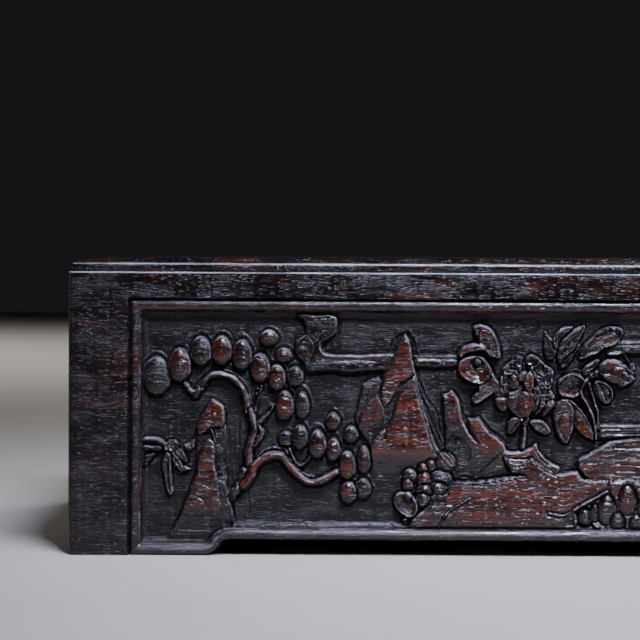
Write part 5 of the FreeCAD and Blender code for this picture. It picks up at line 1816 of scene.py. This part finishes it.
    def close(self, mesh: bpy.types.Mesh) -> None:
        """Gives the carved face the wall's thickness, its mitred ends, its underside and its inner face.

        Args:
            mesh: the carved face, which becomes the closed board.
        """
        inner = (self.half - self.moulding.wall) * MM
        reach = (self.length / 2 - self.moulding.wall) * MM
        rim = self.moulding.rim * MM
        top = self.height * MM
        board = bmesh.new()
        board.from_mesh(mesh)
        ends = self.length / 2 * MM
        for vert in board.verts:
            vert.co.x = max(-ends, min(ends, vert.co.x))
            vert.co.y = max(-self.half * MM, vert.co.y)
            vert.co.z = max(0.0, min(top, vert.co.z))
        for face in board.faces:
            face.smooth = True
        border = [edge for edge in board.edges if edge.is_boundary]
        for edge in board.edges:
            edge.smooth = edge.is_boundary or edge.calc_face_angle(0.0) < KNIFE_EDGE
        for edge in border:
            edge.smooth = all(vert.co.z > top - HAIR for vert in edge.verts)
        for back, drop in ((inner + rim, 0.0), (inner, rim)):
            pushed = bmesh.ops.extrude_edge_only(board, edges=border)["geom"]
            border = [item for item in pushed if isinstance(item, bmesh.types.BMEdge) and item.is_boundary]
            limit = reach + (back - inner)
            for vert in {vert for edge in border for vert in edge.verts}:
                vert.co.y = -back
                vert.co.x = max(-limit, min(limit, vert.co.x))
                if vert.co.z > top - HAIR:
                    vert.co.z -= drop
        behind = [vert for vert in board.verts if vert.co.y > -(inner + rim) - HAIR]
        bmesh.ops.remove_doubles(board, verts=behind, dist=HAIR)
        border = [edge for edge in board.edges if edge.is_boundary]
        bmesh.ops.contextual_create(board, geom=border)
        bmesh.ops.recalc_face_normals(board, faces=board.faces)
        board.to_mesh(mesh)
        board.free()


@dataclass(frozen=True)
class LidBoard:
    """The thin lid board: a low raised top inside a hand-rounded edge, in mm.

    Attributes:
        half_x: half its length.
        half_y: half its depth.
        bottom: height of its underside.
        edge_top: height where its edge ends and the shoulder starts.
        top: height of the raised top.
        shoulder: width of the shoulder.
        pitch: distance between the points of its top.
        corner: radius of its corners.
        eased: width and depth of the worn upper edge.
        nose: height of the edge above the tuck of its underside.
        tuck: how far the underside is tucked in.
    """

    half_x: float = 157.0
    half_y: float = 94.0
    bottom: float = 95.0
    edge_top: float = 97.6
    top: float = 99.9
    shoulder: float = 5.0
    pitch: float = 1.2
    corner: float = 0.9
    eased: tuple[float, float] = (0.40, 0.30)
    nose: float = 0.42
    tuck: float = 0.45

    EDGE_STEPS = (0.0, 0.12, 0.3, 0.55, 0.9, 1.4, 2.0, 2.7, 3.4, 4.2, 5.0)  # distances in that get a line
    MARGIN = 6.0  # width of the strip that is made from them, in mm
    PLANED = 0.05  # what hand planing takes off all over, in mm
    SHOULDER_WAVER = Waver(0.08, 9.0, 9.0)
    TOP_WAVER = Waver(0.006, 40.0, 6.0)
    EDGE_WAVER = Waver(0.08, 13.0, 13.0)

    def heights(self, inward: Field, x: Field, y: Field) -> Field:
        """Works out the lid's upper face.

        Args:
            inward: distance in from the lid's edge in mm.
            x: places along the lid in mm.
            y: places across it in mm.

        Returns:
            The heights in mm.
        """
        rise = self.top - self.edge_top
        t = np.clip(inward / self.shoulder, 0.0, 1.0)
        slope = self.edge_top + rise * (1.3 * t - 0.3 * t * t * t)
        width, depth = self.eased
        softened = depth * np.clip(1 - inward / width, 0, 1) ** 2
        waver = self.SHOULDER_WAVER.at(x, y, 71) * smoothstep(1 - inward / self.MARGIN)
        waver = waver + self.TOP_WAVER.at(x, y, 72)
        return np.minimum(slope - softened + waver - self.PLANED, self.top)

    def build(self, material: bpy.types.Material) -> bpy.types.Object:
        """Makes the lid board.

        Args:
            material: its finish.

        Returns:
            The finished board.
        """
        near = np.array(self.EDGE_STEPS)
        lines = []
        for half in (self.half_x, self.half_y):
            middle = np.arange(self.MARGIN - half, half - self.MARGIN, self.pitch)
            lines.append(np.concatenate([near - half, middle, half - near[::-1]]))
        xs, ys = lines
        shell = bmesh.new()
        bmesh.ops.create_grid(shell, x_segments=len(xs) - 1, y_segments=len(ys) - 1, size=0.5)
        for vert in shell.verts:
            x = xs[round((vert.co.x + 0.5) * (len(xs) - 1))]
            y = ys[round((vert.co.y + 0.5) * (len(ys) - 1))]
            vert.co = (x, y, 0)
        at = np.array([vert.co for vert in shell.verts])
        x, y = at[:, 0], at[:, 1]
        gap_x, gap_y = self.half_x - np.abs(x), self.half_y - np.abs(y)
        inward = np.minimum(gap_x, gap_y)
        heights = self.heights(inward, x, y)
        cut = np.clip(self.corner - gap_x, 0, None), np.clip(self.corner - gap_y, 0, None)
        stretch = np.hypot(*cut)
        pull = np.where(stretch > self.corner, self.corner / np.maximum(stretch, 1e-9), 1.0)
        edge_line = self.EDGE_WAVER.at(x + y, x - y, 73) - self.EDGE_WAVER.depth
        edge_line = edge_line * smoothstep(1 - inward / 2.0)
        for vert, px, py, pz, kx, ky, keep, slip in zip(shell.verts, x, y, heights, *cut, pull, edge_line):
            back_x, back_y = kx * (1 - keep) - slip * (kx > 0), ky * (1 - keep) - slip * (ky > 0)
            place_x, place_y = px - math.copysign(back_x, px), py - math.copysign(back_y, py)
            vert.co = (place_x * MM, place_y * MM, pz * MM)
        for face in shell.faces:
            face.smooth = True
        border = [edge for edge in shell.edges if edge.is_boundary]
        for level, tuck in ((self.bottom + self.nose, 0.0), (self.bottom, self.tuck)):
            pushed = bmesh.ops.extrude_edge_only(shell, edges=border)["geom"]
            border = [item for item in pushed if isinstance(item, bmesh.types.BMEdge) and item.is_boundary]
            for vert in {vert for edge in border for vert in edge.verts}:
                vert.co.z = level * MM
                if tuck:
                    vert.co.x -= math.copysign(tuck * MM, vert.co.x)
                    vert.co.y -= math.copysign(tuck * MM, vert.co.y)
        underside = bmesh.ops.contextual_create(shell, geom=border)["faces"]
        for face in underside:
            for edge in face.edges:
                edge.smooth = False
        bmesh.ops.recalc_face_normals(shell, faces=shell.faces)
        mesh = bpy.data.meshes.new("lid")
        shell.to_mesh(mesh)
        shell.free()
        lid = finished("lid_board_raised", mesh, material)
        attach(lid, "lid")
        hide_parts("lid_board")
        return lid


@dataclass(frozen=True)
class Fittings:
    """The plain pieces inside the box and under the lid, which keep their constructed shapes.

    Attributes:
        case: the pieces that stay with the case.
        lid: the pieces that lift with the lid.
        deep: the pieces of both kinds whose grain runs from front to back.
    """

    case: tuple[str, ...] = (
        "mitre_tongue_front_left", "mitre_tongue_front_right", "mitre_tongue_back_left",
        "mitre_tongue_back_right", "floor_board", "floor_batten_left", "floor_batten_right",
        "long_partition", "cross_partition", "ink_rack",
    )
    lid: tuple[str, ...] = (
        "lid_lip_front", "lid_lip_right", "lid_lip_back", "lid_lip_left",
        "lid_cleat_left", "lid_cleat_right",
    )
    deep: tuple[str, ...] = (
        "floor_batten_left", "floor_batten_right", "cross_partition", "lid_lip_right", "lid_lip_left",
        "lid_cleat_left", "lid_cleat_right",
    )

    def dress(self, finish: Rosewood) -> None:
        """Gives each piece the inner wood, with its grain along its length.

        Args:
            finish: the inner wood.
        """
        woods = {grain: finish.material(f"inner_wood_{grain.name.lower()}", grain) for grain in Grain}
        for name in self.case + self.lid:
            piece = frame["nodes"][name]
            wood = woods[Grain.DEEP if name in self.deep else Grain.ACROSS]
            for slot in piece.material_slots:
                slot.material = wood
            log.info("%s: dressed", name)


@dataclass(frozen=True)
class SoftLight:
    """One soft rectangular light with a grid before it.

    Attributes:
        name: its name.
        place: where it hangs, in metres.
        aim: what it points at.
        size: its width and height in metres.
        power: its strength in watts.
        colour: its colour.
        opening: how wide the grid lets it shine, in degrees.
    """

    name: str
    place: Place
    aim: Place
    size: Point
    power: float
    colour: Colour
    opening: float

    def hang(self) -> None:
        """Hangs it."""
        lamp = bpy.data.lights.new(self.name, "AREA")
        lamp.shape = "RECTANGLE"
        lamp.size, lamp.size_y = self.size
        lamp.energy = self.power
        lamp.color = self.colour
        lamp.spread = math.radians(self.opening)
        holder = bpy.data.objects.new(self.name, lamp)
        bpy.context.scene.collection.objects.link(holder)
        holder.location = self.place
        holder.rotation_euler = (Vector(self.aim) - Vector(self.place)).to_track_quat("-Z", "Y").to_euler()


LIGHTS = (
    SoftLight(
        "key", (0.12, -0.56, 0.78), (0.01, -0.09, 0.04), (0.30, 0.16), 1.78, (0.71, 0.755, 1.0), 50.0
    ),
    SoftLight(
        "right", (0.55, -0.62, 0.62), (0.0, -0.09, 0.07), (0.25, 0.25), 0.28, (0.80, 0.84, 1.0), 50.0
    ),
    SoftLight("top", (0.0, -0.12, 1.2), (0.0, 0.0, 0.09), (0.5, 0.2), 0.22, (0.85, 0.9, 1.0), 60.0),
    SoftLight("left", (-1.1, 0.10, 0.45), (-0.05, 0.0, 0.06), (0.4, 0.5), 0.2, (1.0, 0.9, 0.85), 60.0),
    SoftLight("rear", (0.7, 1.1, 0.9), (0.0, 0.09, 0.05), (0.4, 0.3), 0.9, (1.0, 0.97, 0.94), 50.0),
    SoftLight("wash", (-0.6, 1.35, 1.6), (-0.6, 1.35, 0.0), (1.4, 0.8), 6.0, (0.98, 0.98, 1.0), 70.0),
)


@dataclass(frozen=True)
class Studio:
    """The pale floor, the soft lights and the camera.

    Attributes:
        eye: where the camera stands, in metres.
        pitch: how far it looks down, in degrees.
        yaw: how far it looks to the left.
        roll: how far it is tilted.
        lens: its focal length in mm.
        sensor: width of its picture in mm.
        lights: the lights.
        air: colour of the light from all round.
        glow: strength of that light.
        floor_half: half the floor's width in metres.
    """

    eye: Place = (-0.0677, -0.895, 0.1024)
    pitch: float = 1.665
    yaw: float = 0.446
    roll: float = 0.3
    lens: float = 135.0
    sensor: float = 36.0
    lights: tuple[SoftLight, ...] = LIGHTS
    air: Colour = (0.30, 0.31, 0.33)
    glow: float = 0.035
    floor_half: float = 3.0

    def floor(self) -> None:
        """Lays the floor."""
        shell = bmesh.new()
        bmesh.ops.create_grid(shell, x_segments=1, y_segments=1, size=self.floor_half)
        mesh = bpy.data.meshes.new("floor")
        shell.to_mesh(mesh)
        shell.free()
        finished("studio_floor", mesh, PaleFloor().material())

    def surroundings(self) -> None:
        """Fills the air with a faint even light."""
        world = bpy.data.worlds.new("studio")
        world.use_nodes = True
        background = world.node_tree.nodes["Background"]
        background.inputs[0].default_value = (*self.air, 1)
        background.inputs[1].default_value = self.glow
        bpy.context.scene.world = world

    def camera(self) -> None:
        """Sets up the camera."""
        lens = bpy.data.cameras.new("camera")
        lens.lens, lens.sensor_width = self.lens, self.sensor
        lens.clip_start = 0.01
        camera = bpy.data.objects.new("camera", lens)
        bpy.context.scene.collection.objects.link(camera)
        turn = Euler((math.radians(90 - self.pitch), 0.0, math.radians(self.yaw))).to_matrix().to_4x4()
        roll = Matrix.Rotation(math.radians(self.roll), 4, "Z")
        camera.matrix_world = Matrix.Translation(self.eye) @ turn @ roll
        bpy.context.scene.camera = camera

    def build(self) -> None:
        """Sets up the whole studio."""
        self.floor()
        for light in self.lights:
            light.hang()
        self.surroundings()
        self.camera()


def main() -> None:
    """Builds the box in order: studio, walls, lid, and the pieces inside."""
    logging.basicConfig(level=logging.INFO, format="%(message)s")
    Studio().build()
    carved = Rosewood(carved=True, rim=(0.0946, 0.0960))
    across = carved.material("carved_rosewood_across", Grain.ACROSS)
    deep = carved.material("carved_rosewood_deep", Grain.DEEP)
    front, back = front_pattern(BOX_LENGTH * PER_MM), back_pattern(BOX_LENGTH * PER_MM)
    walls = (
        CarvedWall(
            Side.FRONT, BOX_LENGTH, BOX_DEPTH / 2, front, seed=1, most_faces=197000, pitch=0.34, fine=196.0
        ),
        CarvedWall(Side.RIGHT, BOX_DEPTH, BOX_LENGTH / 2, end_pattern(), seed=2),
        CarvedWall(Side.BACK, BOX_LENGTH, BOX_DEPTH / 2, back, seed=3, most_faces=130000),
        CarvedWall(Side.LEFT, BOX_DEPTH, BOX_LENGTH / 2, end_pattern(), seed=4),
    )
    for wall in walls:
        wall.build(deep if wall.side in (Side.RIGHT, Side.LEFT) else across)
    LidBoard().build(Rosewood(figure=0.5, rim=(0.09755, 0.0978)).material("lid_rosewood", Grain.ACROSS))
    Fittings().dress(Rosewood(dark=(0.016, 0.008, 0.006), figure=0.9, polish=0.42))


if __name__ == "__main__":
    main()
